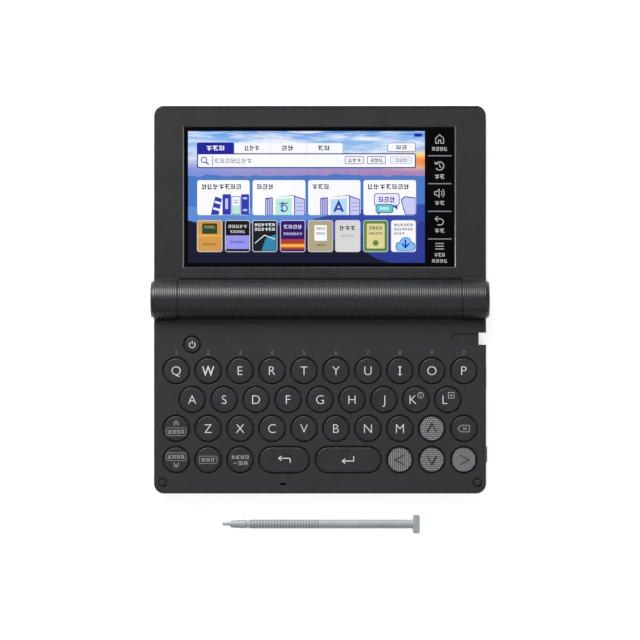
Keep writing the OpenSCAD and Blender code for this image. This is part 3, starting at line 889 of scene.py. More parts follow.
def draw_next(bm, x, y, z):
    chevrons(bm, x, y - 2.15, 1.1, 0.95, 0.9, z, False)
    label_box(bm, x, y + 1.25, LABEL_WIDE, LABEL_HIGH, z, 4)


def draw_shift(bm, x, y, z):
    label_box(bm, x, y, 7.0, 2.9, z, 3)


def draw_space(bm, x, y, z):
    signs(bm, x, y + 1.1, 7.4, 1.7, 4, z)
    signs(bm, x + 1.2, y - 1.3, 4.2, 1.7, 2, z)
    plate(bm, rectangle(x - 2.7, y - 1.45, x - 1.2, y - 1.2), z, PRINT)


def draw_delete(bm, x, y, z):
    line(bm, [(x - 2.4, y), (x - 1.1, y + 1.3), (x + 2.2, y + 1.3), (x + 2.2, y - 1.3), (x - 1.1, y - 1.3)],
         0.28, z, PRINT, closed=True)
    line(bm, [(x - 0.4, y - 0.6), (x + 1.2, y + 0.6)], THIN, z, PRINT)
    line(bm, [(x - 0.4, y + 0.6), (x + 1.2, y - 0.6)], THIN, z, PRINT + OVERLAP)


def draw_back(bm, x, y, z):
    line(bm, [(x + 2.4, y - 1.1), (x + 2.4, y + 0.6), (x - 1.6, y + 0.6)], THICK, z, PRINT, rounding=0.6)
    line(bm, [(x - 1.1, y + 1.5), (x - 2.2, y + 0.6), (x - 1.1, y - 0.3)], THICK, z, PRINT + OVERLAP)


def draw_enter(bm, x, y, z):
    line(bm, [(x + 2.2, y + 1.4), (x + 2.2, y - 0.5), (x - 1.8, y - 0.5)], THICK, z, PRINT)
    line(bm, [(x - 1.2, y + 0.4), (x - 2.3, y - 0.5), (x - 1.2, y - 1.4)], THICK, z, PRINT + OVERLAP)


for label, draw in (("power", draw_power), ("previous", draw_previous), ("next", draw_next),
                    ("shift", draw_shift), ("space", draw_space), ("delete", draw_delete),
                    ("back", draw_back), ("enter", draw_enter)):
    bright = label in ("power", "back", "enter")
    legend_on("key_" + label, draw, legend_ink if bright else icon_ink)

# %% [markdown]
# ### Arrow keys
# Their tops are printed with a light halftone: rows of small dots, each row shifted by half a step. That is
# a pattern for nodes rather than for geometry. Two fractions of the Object coordinates give the place inside
# one cell, and the distance from the cell's middle gives a dot with a soft rim. The chevron on top is dark.

# %% Halftone print and chevrons
HALFTONE_PITCH = 0.00092
CHEVRON = ((-1.6, 1.9), (1.95, 0), (-1.6, -1.9))
CHEVRON_WIDTH = 0.56


def halftone(name, turn):
    material, t, shader = new_material(name)
    pitch = 1 / HALFTONE_PITCH
    at = t.add("ShaderNodeSeparateXYZ", Vector=t.place(scale=(pitch, pitch, pitch), turn=turn))
    row = t.math("MULTIPLY", at.outputs["Y"], 1.15)
    shift = t.math("MULTIPLY", t.math("FLOOR", row), 0.5)
    across = t.math("SUBTRACT", t.math("FRACT", t.math("ADD", at.outputs["X"], shift)), 0.5)
    up = t.math("SUBTRACT", t.math("FRACT", row), 0.5)
    far = t.math("SQRT", t.math("ADD", t.math("MULTIPLY", across, across), t.math("MULTIPLY", up, up)))
    dot = t.between(far, 0.42, 0.3)
    marks = t.add("ShaderNodeGroup", {"node_tree": handling_tree},
                  Vector=t.add("ShaderNodeTexCoord").outputs["Object"])
    ink = t.mix(dot, linear("#29292c"), linear("#8f9194"))
    dusty = t.math("MULTIPLY", marks.outputs["Dust"], 0.3)
    t.put(shader, "Base Color", t.mix(dusty, ink, linear(DUST_COLOUR)))
    t.put(shader, "Roughness", t.math("ADD", t.math("MULTIPLY", marks.outputs["Scratch"], 0.2), 0.45))
    t.put(shader, "Normal", t.add("ShaderNodeBump", Height=dot, Strength=0.4, Distance=0.000008).outputs[0])
    return material


dark_ink = finish("dark_ink", "#1a1a1c", 0.5, 12000, 0.000004)
halftone_upright = halftone("halftone_upright", 0.0)
halftone_sideways = halftone("halftone_sideways", math.pi / 2)
for label, turn in (("up", 90), ("left", 180), ("down", 270), ("right", 0)):
    node = "key_" + label
    middle, radius, _, _, high = key_shape(node)
    patch = bmesh.new()
    disc(patch, middle.x, middle.y, radius - SHOULDER, high - SINK, SINK + 0.008, 48)
    upright = label in ("up", "down")
    make_piece(patch, node + "_print", halftone_upright if upright else halftone_sideways, node, smooth=20)
    chevron = bmesh.new()
    turned = Matrix.Rotation(math.radians(turn), 2)
    placed = [middle.xy + turned @ Vector(point) for point in CHEVRON]
    line(chevron, placed, CHEVRON_WIDTH, high, PRINT)
    make_piece(chevron, node + "_legend", dark_ink, node, smooth=20)

# %% [markdown]
# ## Lower shell and stops
# The bottom shell is the CAD copy with its lower edges rounded. The two stops at the front corners are
# turned rubber buttons with a domed top.

# %% Lower shell and stops
case_low, case_high = box_mm("bottom_case")
trim = soft_block(case_low.x + HAIR, case_low.y + HAIR, case_high.x - HAIR, case_high.y + FAR_OFF,
                  case_low.z + FACE_HAIR, case_high.z + 1, low_edge=1.1)
lower = combined(cad_copy("bottom_case"), trim, "INTERSECT")
make_piece(lower, "lower_shell", case_plastic, "base", ["bottom_case"], weighted=True)

stops = bmesh.new()
STOP_ROUND = 0.4
dome = quarter_arc(stop_radius - STOP_ROUND, stop_high.z - STOP_ROUND - 0.05, STOP_ROUND, 4)
section = [(0, stop_low.z), (stop_radius, stop_low.z)] + dome + [(0, stop_high.z)]
for x in stop_places:
    join(stops, spun_upright(section, x, stop_y, STOP_STEPS))
make_piece(stops, "lid_stops", foot_rubber, "base", ["lid_bumpers"])

# %% [markdown]
# ## Ribbed barrel
# The barrel is moulded with fine ribs that run round it, which is what makes its highlight shimmer. Its
# upper half is a new half pipe: a closed section with a small wave for every rib, spun by half a turn. The
# lower half, with the battery opening, stays as the CAD has it.

# %% Ribbed half pipe and the lower half of the barrel
RIB_PITCH = 0.883
RIB_DEPTH = 0.06
BAY_RADIUS = 7.35
barrel_low, barrel_high = box_mm("battery_barrel")
barrel_radius = barrel_high.y - HINGE_Y


def ribbed_profile(x0, x1, radius):
    """Outline of a ribbed surface from one end to the other, as (x, radius)."""
    count = max(1, round((x1 - x0) / RIB_PITCH))
    step = (x1 - x0) / count
    wave = ((0.0, 1.0), (0.2, 0.4), (0.36, 0.0), (0.64, 0.0), (0.8, 0.4))
    points = [(x0 + (i + at) * step, radius - deep * RIB_DEPTH) for i in range(count) for at, deep in wave]
    return points + [(x1, radius - RIB_DEPTH)]


def wrapped(section, start, sweep, steps=TURN_STEPS):
    """A section of (x, radius) points, swept round the hinge axis from one angle."""
    points = [Vector((x, HINGE_Y + r * math.cos(start), HINGE_Z + r * math.sin(start))) for x, r in section]
    return spun(points, (0, HINGE_Y, HINGE_Z), (1, 0, 0), steps=steps, angle=sweep, closed=True)


section = ribbed_profile(barrel_low.x, barrel_high.x, barrel_radius)
section += [(barrel_high.x, BAY_RADIUS), (barrel_low.x, BAY_RADIUS)]
half_pipe = wrapped(section, 0.0, math.pi, steps=44)
print("ribbed half pipe faces:", len(half_pipe.faces))
make_piece(half_pipe, "ribbed_barrel", barrel_plastic, "base", smooth=40)

lower_barrel = cad_copy("battery_barrel")
everything = lower_barrel.verts[:] + lower_barrel.edges[:] + lower_barrel.faces[:]
bmesh.ops.bisect_plane(lower_barrel, geom=everything, plane_co=(0, 0, HINGE_Z - 0.002),
                       plane_no=(0, 0, 1), clear_outer=True, dist=0.0001)
bmesh.ops.triangle_fill(lower_barrel, edges=open_edges(lower_barrel), use_beauty=True)
print("open edges of the lower barrel:", len(open_edges(lower_barrel)))
make_piece(lower_barrel, "barrel_lower_half", barrel_plastic, "base", ["battery_barrel"])

# %% [markdown]
# ## Lid shell with its knuckles
# The two knuckles belong to the lid and carry the same ribs as the barrel. A rib is much finer than the
# facets of the CAD cylinder, so the free side of each knuckle is cut back by a third of a millimetre and
# gets a ribbed sleeve, spun from the same profile as the barrel. Two small plates close the corners below.

# %% Lid shell and knuckle sleeves
lid_low, lid_high = box_mm("lid_back_cover")
trim = soft_block(lid_low.x + HAIR, lid_low.y - FAR_OFF, lid_high.x - HAIR, lid_high.y - HAIR,
                  lid_low.z + FACE_HAIR, lid_high.z + 5, low_edge=1.3)
lid = combined(cad_copy("lid_back_cover"), trim, "INTERSECT")

SLEEVE_START = math.radians(-5)
SLEEVE_SWEEP = math.radians(280)
SLEEVE_THICK = 0.35
END_GAP = 0.001
RECESS_SPARE = 0.1
CRADLE_NEAR = 5.75
CRADLE_FAR = 8.6
CORNER_THICK = 1.15
knuckle_start = barrel_high.x + 0.25

recesses = bmesh.new()
sleeves = bmesh.new()
inner = barrel_radius - SLEEVE_THICK
for side in (-1, 1):
    near, far = side * knuckle_start, side * (lid_high.x - HAIR)
    before, beyond = near - side * RECESS_SPARE, far + side * RECESS_SPARE
    outside = barrel_radius + 1
    section = [(before, inner), (beyond, inner), (beyond, outside), (before, outside)]
    join(recesses, wrapped(section, SLEEVE_START, SLEEVE_SWEEP))
    left, right = min(near, far), max(near, far)
    section = ribbed_profile(left, right, barrel_radius) + [(right, inner), (left, inner)]
    join(sleeves, wrapped(section, SLEEVE_START + END_GAP, SLEEVE_SWEEP - 2 * END_GAP))
lid = combined(lid, recesses)
for side in (-1, 1):
    left, right = sorted((side * (barrel_high.x - 0.2), side * (knuckle_start + 0.1)))
    plate(lid, rectangle(left, HINGE_Y + CRADLE_NEAR, right, HINGE_Y + CRADLE_FAR), HAIR, CORNER_THICK)
print("lid faces:", len(lid.faces), "sleeve faces:", len(sleeves.faces))
print("open edges:", len(open_edges(lid)), len(open_edges(sleeves)))
make_piece(lid, "lid_shell", lid_plastic, "lid", ["lid_back_cover"], weighted=True)
make_piece(sleeves, "knuckle_sleeves", barrel_plastic, "lid", smooth=40)

# %% [markdown]
# ## Bezel
# The frame round the screen has rounded outer edges, a fine seam just inside its far edge and a soft window
# edge, whose upright faces are glossy and pale: the pale colour is a painted highlight. The window's edge is
# taken off with a rectangular plug that flares like a trumpet.

# %% Bezel
bezel_low, bezel_high = box_mm("display_bezel")
panel_low, panel_high = box_mm("touch_panel")
REBATE = 1.2
window = (panel_low.x + REBATE, panel_low.y + REBATE, panel_high.x - REBATE, panel_high.y - REBATE)
trim = soft_block(bezel_low.x + HAIR, bezel_low.y - FAR_OFF, bezel_high.x - HAIR, bezel_high.y - HAIR,
                  bezel_low.z - 1, bezel_high.z - FACE_HAIR, high_edge=0.7)
bezel = combined(cad_copy("display_bezel"), trim, "INTERSECT")
WINDOW_LIP = 0.42
flare = [(-PLUG_HAIR, bezel_high.z - 0.9), (-PLUG_HAIR, bezel_high.z - WINDOW_LIP)]
for turn in (i * math.pi / 8 for i in range(1, 5)):
    reach, drop = WINDOW_LIP * (1 - math.cos(turn)), WINDOW_LIP * (1 - math.sin(turn))
    flare.append((reach, bezel_high.z - drop - FACE_HAIR))
flare.append((WINDOW_LIP, bezel_high.z + 1))
cutters = flared_rectangle(*window, flare)
SEAM_INSET = 0.75
SEAM_END = 3.2
SEAM_WIDTH = 0.4
seam_y = bezel_high.y - SEAM_INSET
seam = rectangle(bezel_low.x + SEAM_END, seam_y - SEAM_WIDTH, bezel_high.x - SEAM_END, seam_y)
plate(cutters, seam, bezel_high.z - 0.8, 1.5)
bezel = combined(bezel, cutters)
print("bezel faces:", len(bezel.faces), "open edges:", len(open_edges(bezel)))
bezel_piece = make_piece(bezel, "bezel", bezel_plastic, "lid", ["display_bezel"],
                         weighted=True)


def on_window_edge(at, normal):
    near_x = window[0] - WINDOW_LIP < at.x < window[2] + WINDOW_LIP
    near_y = window[1] - WINDOW_LIP < at.y < window[3] + WINDOW_LIP
    return near_x and near_y and abs(normal.x) > 0.15


# The upright faces of the window's edge get the pale colour: a painted highlight on the chamfer.
second_finish(bezel_piece, window_trim, on_window_edge)

# %% [markdown]
# ## Screen
# The picture on a lit screen is a stack of flat coloured shapes, so that is how it is built: thin plates in
# layers of a hundredth of a millimetre, lying on the glass and inside the bezel's window. Coordinates are
# those of the screen itself, from its upper left corner to the right and down. Every lit colour shares one
# recipe: the colour is emitted through a faint grid of picture cells, under a glossy coat.

# %% Lit colours
grid_tree, g, g_in, g_out = new_group("picture_cells", [("Vector", VECTOR, None)], [("Glow", FLOAT)])
CELLS_PER_METRE = 8500.0
scaled = g.add("ShaderNodeVectorMath", {"operation": "SCALE"}, Vector=g_in.outputs["Vector"],
               Scale=CELLS_PER_METRE)
cell = g.add("ShaderNodeVectorMath", {"operation": "FRACTION"}, Vector=scaled.outputs[0])
split = g.add("ShaderNodeSeparateXYZ", Vector=cell.outputs[0])
gap_x = g.between(g.math("ABSOLUTE", g.math("SUBTRACT", split.outputs["X"], 0.5)), 0.38, 0.5, 1.0, 0.86)
gap_y = g.between(g.math("ABSOLUTE", g.math("SUBTRACT", split.outputs["Y"], 0.5)), 0.38, 0.5, 1.0, 0.9)
haze = g.add("ShaderNodeTexNoise", Vector=g_in.outputs["Vector"], Scale=55.0, Detail=2.0)
g.put(g_out, "Glow", g.math("MULTIPLY", g.math("MULTIPLY", gap_x, gap_y),
                            g.between(haze.outputs["Fac"], 0.3, 0.7, 1.0, 1.05)))


def lit_shader(name):
    """Starts a glossy, glowing material and returns its tree, shader and the brightness of its cells."""
    material, t, shader = new_material(name)
    at = t.add("ShaderNodeTexCoord").outputs["Object"]
    glow = t.add("ShaderNodeGroup", {"node_tree": grid_tree}, Vector=at).outputs["Glow"]
    marks = t.add("ShaderNodeGroup", {"node_tree": handling_tree}, Vector=at)
    t.put(shader, "Roughness", t.math("ADD", t.math("MULTIPLY", marks.outputs["Smudge"], 0.1), 0.12))
    shader.inputs["Base Color"].default_value = (0.004, 0.004, 0.004, 1)
    shader.inputs["Specular IOR Level"].default_value = 0.15
    shader.inputs["Emission Strength"].default_value = 1.0
    return material, t, shader, glow


def lit(name, colour):
    material, t, shader, glow = lit_shader(name)
    t.put(shader, "Emission Color", t.mix(1.0, linear(colour), glow, "MULTIPLY"))
    return material


# %% [markdown]
# ### Placing shapes on the screen
# Shapes of one colour are gathered in one bmesh, whatever their layer, and become one piece at the end.

# %% Screen helpers
LAYER = 0.012
SCREEN_LEFT = window[0] + 1.6
SCREEN_TOP = window[3] - 1.5
SCREEN_WIDE = 94.2
SCREEN_HIGH = 52.45
GLASS_Z = panel_high.z
inks = {}


def ink(colour):
    return inks.setdefault(colour, bmesh.new())


def spot(x, y):
    return (SCREEN_LEFT + x, SCREEN_TOP - y)


def shape(colour, points, layer, rounding=0.0):
    plate(ink(colour), [spot(x, y) for x, y in points], GLASS_Z + layer * LAYER, LAYER, rounding)


def dot(colour, x, y, radius, layer, count=20):
    shape(colour, circle_points(x, y, radius, 0, 360, count)[:-1], layer)


def patch(colour, x0, y0, x1, y1, layer, rounding=0.0):
    shape(colour, rectangle(x0, y0, x1, y1), layer, rounding)


def stroke(colour, points, width, layer, closed=False, rounding=0.0):
    places = [spot(x, y) for x, y in points]
    line(ink(colour), places, width, GLASS_Z + layer * LAYER, LAYER, closed, rounding)


def framed(colour, edge, x0, y0, x1, y1, width, layer, rounding=0.0):
    """A patch with an outline round it: a larger patch below a smaller one."""
    patch(edge, x0, y0, x1, y1, layer, rounding)
    patch(colour, x0 + width, y0 + width, x1 - width, y1 - width, layer + 1, max(0.0, rounding - width))


def words(colour, x0, x1, y0, y1, layer):
    """A label of as many signs as fit between two places."""
    count = max(1, round((x1 - x0) / (y1 - y0)))
    for at_x0, at_y0, at_x1, at_y1, order in sign_strokes(x0, x1, y0, y1, count):
        patch(colour, at_x0, at_y0, at_x1, at_y1, layer + order * 0.2)


# %% [markdown]
# ### Wallpaper
# The picture behind everything is a bright evening sky over blue mountains. The sky is a material: a colour
# ramp from top to bottom, long streaks of noise for cloud, and a warm glow at the right. The mountains are
# plates whose upper edges wander with a noise.

# %% Sky and mountains
sky_material, t, shader, glow = lit_shader("sky")
at = t.place(scale=(1 / MM, -1 / MM, 1 / MM), offset=(-SCREEN_LEFT, SCREEN_TOP, 0))
split = t.add("ShaderNodeSeparateXYZ", Vector=at)
ramp = t.add("ShaderNodeValToRGB", Fac=t.between(split.outputs["Y"], 0.0, 20.0))
stops = ((0.0, "#5a9ae6"), (0.25, "#8dbdf0"), (0.55, "#a9c2ee"), (0.78, "#9c9ad2"), (1.0, "#7f86c8"))
while len(ramp.color_ramp.elements) < len(stops):
    ramp.color_ramp.elements.new(0.5)
for element, (place_on_ramp, colour) in zip(ramp.color_ramp.elements, stops):
    element.position = place_on_ramp
    element.color = linear(colour)
stretch_clouds = t.add("ShaderNodeMapping", Vector=at, Scale=(0.045, 0.32, 1.0))
clouds = t.add("ShaderNodeTexNoise", Vector=stretch_clouds.outputs[0], Scale=1.0, Detail=6.0, Roughness=0.65)
cloud_height = t.between(split.outputs["Y"], 15.0, 9.0, 0.0, 0.9)
cloudy = t.math("MULTIPLY", t.between(clouds.outputs["Fac"], 0.44, 0.62), cloud_height)
sky = t.mix(cloudy, ramp.outputs[0], linear("#f2f6fc"))
far_x = t.math("DIVIDE", t.math("SUBTRACT", split.outputs["X"], 97.0), 24.0)
far_y = t.math("DIVIDE", t.math("SUBTRACT", split.outputs["Y"], 12.2), 5.4)
far = t.math("SQRT", t.math("ADD", t.math("MULTIPLY", far_x, far_x), t.math("MULTIPLY", far_y, far_y)))
sky = t.mix(t.between(far, 1.0, 0.55), sky, linear("#ffe9a8"))
sky = t.mix(t.between(far, 0.7, 0.35), sky, linear("#ffb04c"))
sky = t.mix(t.between(far, 0.4, 0.1), sky, linear("#f0784a"))
low_band = t.between(split.outputs["Y"], 13.0, 16.0)
rosy = t.math("MULTIPLY", low_band, t.between(split.outputs["X"], 20.0, 80.0, 0.0, 0.9))
sky = t.mix(rosy, sky, linear("#ab7fb0"))
clear = t.math("MULTIPLY", low_band, t.between(split.outputs["X"], 20.0, 0.0, 0.0, 0.8))
sky = t.mix(clear, sky, linear("#6f90e6"))
t.put(shader, "Emission Color", t.mix(1.0, sky, glow, "MULTIPLY"))

sky_plate = bmesh.new()
plate(sky_plate, [spot(x, y) for x, y in rectangle(0, 0, SCREEN_WIDE, SCREEN_HIGH)], GLASS_Z, LAYER)
make_piece(sky_plate, "screen_sky", sky_material, "lid")


SKYLINE_STEPS = 78


def ridge(colour, line_points, jag, seed, layer):
    """A mountain range: its skyline follows a few points and wanders with a noise."""
    top = []
    for i in range(SKYLINE_STEPS + 1):
        x = SCREEN_WIDE * i / SKYLINE_STEPS
        after = next(k for k, p in enumerate(line_points) if p[0] >= x)
        (xa, ya), (xb, yb) = line_points[max(0, after - 1)], line_points[after]
        y = ya if xb == xa else ya + (yb - ya) * (x - xa) / (xb - xa)
        y += jag * noise.fractal(Vector((x * 0.16, seed, 0)), 0.8, 2.0, 5)
        top.append((x, min(y, SCREEN_HIGH - 0.05)))
    shape(colour, top + [(SCREEN_WIDE, SCREEN_HIGH), (0, SCREEN_HIGH)], layer)


ridge("far_hills", [(0, 17.6), (30, 17.9), (60, 17.4), (94.2, 17.8)], 0.9, 1.0, 1)
ridge("mist", [(0, 30), (40, 31), (60, 34), (94.2, 36)], 0.8, 2.0, 2)
ridge("near_hills", [(0, 40), (48, 35.6), (60, 32), (94.2, 29)], 1.0, 3.0, 3)
ridge("slope", [(0, 52), (55, 44), (94.2, 36)], 1.0, 4.0, 4)
ridge("dark_ridge", [(0, 35.6), (30, 36.8), (50, 39.5), (64, 45), (71, 48.6), (79, 52.6), (94.2, 60)],
      1.0, 5.0, 5)

# %% [markdown]
# ### Tabs and search bar
# Four tabs stand on a search bar. The first one is the active one, in navy. Their labels are rows of signs.

# %% Tabs and search bar
patch("navy", 3.5, 4.5, 18.3, 9.6, 6, 0.7)
words("paper", 7.1, 14.7, 5.65, 7.85, 7)
TABS = ((18.45, 32.65, 22.4, 28.4), (32.8, 47.2, 37.1, 42.0), (47.4, 61.5, 51.5, 56.5))
for x0, x1, label0, label1 in TABS:
    patch("paper", x0, 4.8, x1, 9.4, 6, 0.6)
    words("writing", label0, label1, 5.65, 7.8, 7)
framed("paper", "navy", 79.4, 4.6, 90.5, 8.2, 0.2, 6, 0.5)
words("writing", 82.6, 87.2, 5.5, 7.4, 8)
framed("paper", "navy", 3.5, 8.8, 90.7, 14.75, 0.45, 8, 0.9)
stroke("navy", [(x, y) for x, y in circle_points(6.3, 11.45, 1.1, 0, 360, 20)[:-1]], 0.36, 10, closed=True)
stroke("navy", [(7.1, 12.25), (8.2, 13.3)], 0.45, 10)
patch("navy", 9.65, 9.9, 9.9, 13.8, 10)
words("placeholder", 10.3, 25.5, 10.8, 12.9, 10)
for x0, x1 in ((62.4, 69.9), (71.2, 78.7)):
    framed("paper", "navy", x0, 10.0, x1, 13.1, 0.25, 10, 0.5)
    words("writing", x0 + 1.3, x1 - 1.0, 10.8, 12.4, 12)
framed("pale_button", "lilac_edge", 80.5, 10.0, 89.0, 13.1, 0.2, 10, 0.5)
words("placeholder", 82.6, 87.2, 10.8, 12.4, 12)
patch("navy", 90.0, 0.95, 92.9, 2.2, 6, 0.15)
patch("navy", 92.9, 1.25, 93.25, 1.9, 6)

# %% [markdown]
# ### Cards
# Four white cards hold a title and a small drawing each: a shelf of books, two open books with a sign on
# the page, and two speech bubbles. The signs are made-up marks.

# %% Cards
CARD_TOP = 19.5
CARD_FOOT = 33.4
CARDS = ((3.65, 24.5, 5.3, 21.3), (25.7, 46.7, 27.2, 34.1), (47.8, 68.6, 49.3, 56.2),
         (69.8, 90.7, 71.4, 88.1))
for x0, x1, title0, title1 in CARDS:
    patch("paper", x0, CARD_TOP, x1, CARD_FOOT, 6, 0.9)
    words("writing", title0, title1, 21.0, 23.25, 7)

shape("book_blue", [(10.8, 26.0), (13.5, 26.9), (12.2, 33.3), (9.0, 33.3)], 7, 0.3)
shape("paper", [(10.75, 27.7), (13.1, 28.4), (12.95, 29.2), (10.5, 28.5)], 8)
shape("paper", [(10.1, 30.3), (12.7, 31.0), (12.5, 31.8), (9.9, 31.1)], 8)
patch("book_blue", 13.7, 25.1, 17.1, 33.3, 7, 0.3)
patch("lavender", 14.8, 26.8, 15.9, 31.0, 8)
framed("paper", "book_blue", 17.3, 25.9, 20.9, 33.3, 0.25, 7, 0.3)
patch("book_blue", 18.3, 27.3, 20.0, 27.6, 9)
patch("book_blue", 18.3, 28.3, 20.0, 28.6, 9)
patch("mint", 17.6, 29.6, 20.6, 33.0, 9)
patch("book_blue", 21.1, 25.1, 24.3, 33.3, 7, 0.3)
patch("lavender", 21.9, 26.3, 23.5, 27.1, 8)
patch("lavender", 21.9, 31.0, 23.5, 31.8, 8)


def open_book(x, page, mark):
    """An open book with its block at the left, a coloured page with a mark, and a pale right page."""
    shape("book_blue", [(x, 26.6), (x + 11.8, 25.4), (x + 11.8, 33.35), (x, 33.35)], 7, 0.3)
    for strip, top in ((0.35, 27.1), (1.2, 26.9), (2.05, 26.7)):
        patch("lavender", x + strip, top, x + strip + 0.5, 33.2, 8)
    shape("paper", [(x + 3.0, 26.3), (x + 11.5, 25.7), (x + 11.5, 33.3), (x + 3.0, 33.3)], 8, 0.2)
    shape(page, [(x + 4.1, 27.1), (x + 10.6, 26.6), (x + 10.6, 33.3), (x + 4.1, 33.3)], 9)
    shape("book_blue", [(x + 11.7, 25.7), (x + 15.8, 27.0), (x + 15.8, 33.35), (x + 11.7, 33.35)], 7, 0.2)
    shape("lavender", [(x + 11.9, 26.2), (x + 15.5, 27.3), (x + 15.5, 33.3), (x + 11.9, 33.3)], 8, 0.2)
    for y in (28.3, 29.8, 31.3):
        stroke("book_blue", [(x + 12.4, y), (x + 13.6, y + 0.4), (x + 15.0, y + 0.2)], 0.18, 9)
    mark(x + 7.3, 30.1)


def brush_mark(x, y):
    stroke("book_blue", [(x - 1.7, y - 1.2), (x + 1.7, y - 1.5)], 0.42, 10)
    stroke("book_blue", [(x - 0.4, y - 2.0), (x - 0.6, y + 1.0), (x + 0.1, y + 1.9)], 0.42, 11)
    stroke("book_blue", circle_points(x + 0.1, y + 0.6, 1.35, 200, 520, 14), 0.42, 12)


def peak_mark(x, y):
    stroke("book_blue", [(x - 1.7, y + 2.0), (x, y - 1.9), (x + 1.7, y + 2.0)], 0.85, 10)
    stroke("book_blue", [(x - 1.1, y + 0.9), (x + 1.1, y + 0.9)], 0.7, 11)


open_book(30.7, "mint", brush_mark)
open_book(52.6, "sky_page", peak_mark)

shape("book_blue", [(84.6, 27.2), (86.2, 25.9), (90.5, 26.4), (90.5, 33.3), (86.4, 33.3), (85.6, 31.2)], 7)
shape("lavender", [(85.0, 27.4), (86.4, 26.3), (90.3, 26.8), (90.3, 33.1), (86.7, 33.1), (85.9, 31.0)], 8)
patch("book_blue", 74.0, 24.7, 84.2, 29.8, 8, 1.2)
shape("book_blue", [(80.6, 29.2), (83.2, 29.2), (83.4, 31.4)], 8)
patch("bubble", 74.3, 25.0, 83.9, 29.5, 9, 1.0)
words("book_blue", 75.6, 82.4, 26.0, 28.5, 10)
patch("book_blue", 74.6, 29.0, 81.7, 32.6, 11, 0.9)
shape("book_blue", [(75.2, 32.0), (77.6, 32.0), (75.6, 33.3)], 11)
patch("teal", 74.9, 29.3, 81.4, 32.3, 12, 0.7)
words("paper", 76.1, 80.0, 30.1, 31.5, 13)

# %% [markdown]
# ### Covers
# The row of eight small covers is abstract on purpose: blocks, bands and bars in the colours of a shelf.

# %% Covers
COVER_TOP = 35.4
COVER_FOOT = 48.1
COVERS = ((3.55, 13.7, "ochre"), (14.7, 24.7, "ink_black"), (25.55, 35.5, "night_green"),
          (36.6, 46.7, "plum"), (47.7, 57.7, "khaki"), (58.5, 68.6, "pale_grey"),
          (69.7, 79.6, "leaf_green"), (80.7, 90.7, "paper"))
for x0, x1, colour in COVERS:
    framed(colour, "cover_edge", x0, COVER_TOP, x1, COVER_FOOT, 0.28, 6, 1.05)

patch("bottle_green", 5.6, 36.7, 11.6, 40.9, 8)
words("ochre", 6.4, 10.8, 37.6, 38.7, 9)
patch("sun_yellow", 3.9, 41.3, 13.4, 41.9, 8)
words("bottle_green", 5.9, 11.3, 44.6, 45.5, 8)
patch("periwinkle", 15.0, 41.5, 24.4, 46.9, 8)
words("pale_grey", 15.9, 23.5, 37.2, 38.6, 8)
words("pale_grey", 16.7, 22.7, 39.4, 40.6, 8)
words("navy", 16.7, 22.7, 43.6, 44.6, 9)
for y in (36.6, 38.4):
    words("paper", 26.4, 34.7, y, y + 1.3, 8)
shape("teal_blue", [(30.9, 42.6), (34.9, 41.0), (34.9, 47.6), (29.2, 47.6)], 8, 0.4)
stroke("paper", [(26.6, 44.6), (30.4, 41.4), (34.6, 43.0)], 0.3, 9)
words("pale_grey", 37.9, 45.4, 37.2, 38.9, 8)
words("pale_grey", 37.9, 45.4, 40.3, 41.4, 8)
patch("brick", 36.95, 43.0, 46.35, 44.9, 8)
patch("sun_yellow", 36.95, 44.9, 46.35, 46.2, 8)
patch("brick", 36.95, 46.2, 46.35, 47.1, 8)
patch("paper", 50.3, 37.4, 55.2, 43.6, 8)
for y in (38.2, 40.2):
    words("writing", 51.0, 54.6, y, y + 1.0, 9)
words("writing", 51.0, 54.6, 44.9, 45.7, 8)
words("writing", 60.2, 66.8, 37.6, 39.5, 8)
words("placeholder", 60.9, 66.0, 41.2, 42.1, 8)
patch("cream", 71.1, 36.8, 78.2, 46.7, 8, 0.5)
words("bottle_green", 71.9, 77.4, 37.8, 39.2, 9)
words("bottle_green", 71.9, 77.4, 40.2, 41.2, 9)
dot("leaf_green", 74.65, 44.5, 1.15, 9, 18)
words("writing", 81.9, 89.5, 36.7, 37.9, 8)
words("writing", 81.9, 89.5, 38.5, 39.6, 8)
words("writing", 81.9, 86.2, 40.2, 41.2, 8)
for colour, grow, layer in (("navy", 0.25, 8), ("cloud_blue", 0.0, 10)):
    patch(colour, 82.8 - grow, 44.4 - grow, 90.2 + grow, 47.6 + min(grow, 0.15), layer, 1.5)
    dot(colour, 86.6, 44.6, 2.2 + grow, layer + (grow == 0))
stroke("navy", [(86.5, 43.2), (86.5, 45.9)], 0.6, 12)
stroke("navy", [(85.1, 44.7), (86.5, 46.3), (87.9, 44.7)], 0.55, 13)

# %% [markdown]
# ### Touch icons
# The black column beside the picture has five fixed touch areas: home, history, sound, back and menu.

# %% Touch icons
ICON_X = 100.1


def outline(points, closed=False, rounding=0.0, width=0.36):
    stroke("icon_grey", [(ICON_X + x, y) for x, y in points], width, 0, closed, rounding)


for y in (9.8, 20.9, 31.9, 42.9):
    patch("rule_grey", 95.5, y - 0.2, 104.8, y + 0.2, 0)
outline([(-1.6, 2.9), (0, 1.4), (1.6, 2.9), (1.6, 4.8), (0.45, 4.8), (0.45, 3.5), (-0.45, 3.5), (-0.45, 4.8),
         (-1.6, 4.8)], closed=True, width=0.3)
outline(circle_points(0, 13.85, 1.65, -150, 150, 18), width=0.34)
outline([(-2.0, 12.2), (-1.5, 13.2), (-0.5, 12.9)], width=0.3)
outline([(0, 12.9), (0, 14.1), (0.8, 14.5)], width=0.28)
outline([(-2.0, 24.1), (-1.2, 24.1), (-0.2, 23.2), (-0.2, 26.2), (-1.2, 25.3), (-2.0, 25.3)], closed=True,
        width=0.3)
outline(circle_points(-0.2, 24.7, 1.15, -50, 50, 8), width=0.28)
outline(circle_points(-0.2, 24.7, 2.05, -50, 50, 8), width=0.28)
outline([(-1.7, 34.9), (0.7, 34.9), (1.7, 35.9), (1.0, 37.3), (-0.9, 37.3)], rounding=0.5, width=0.34)
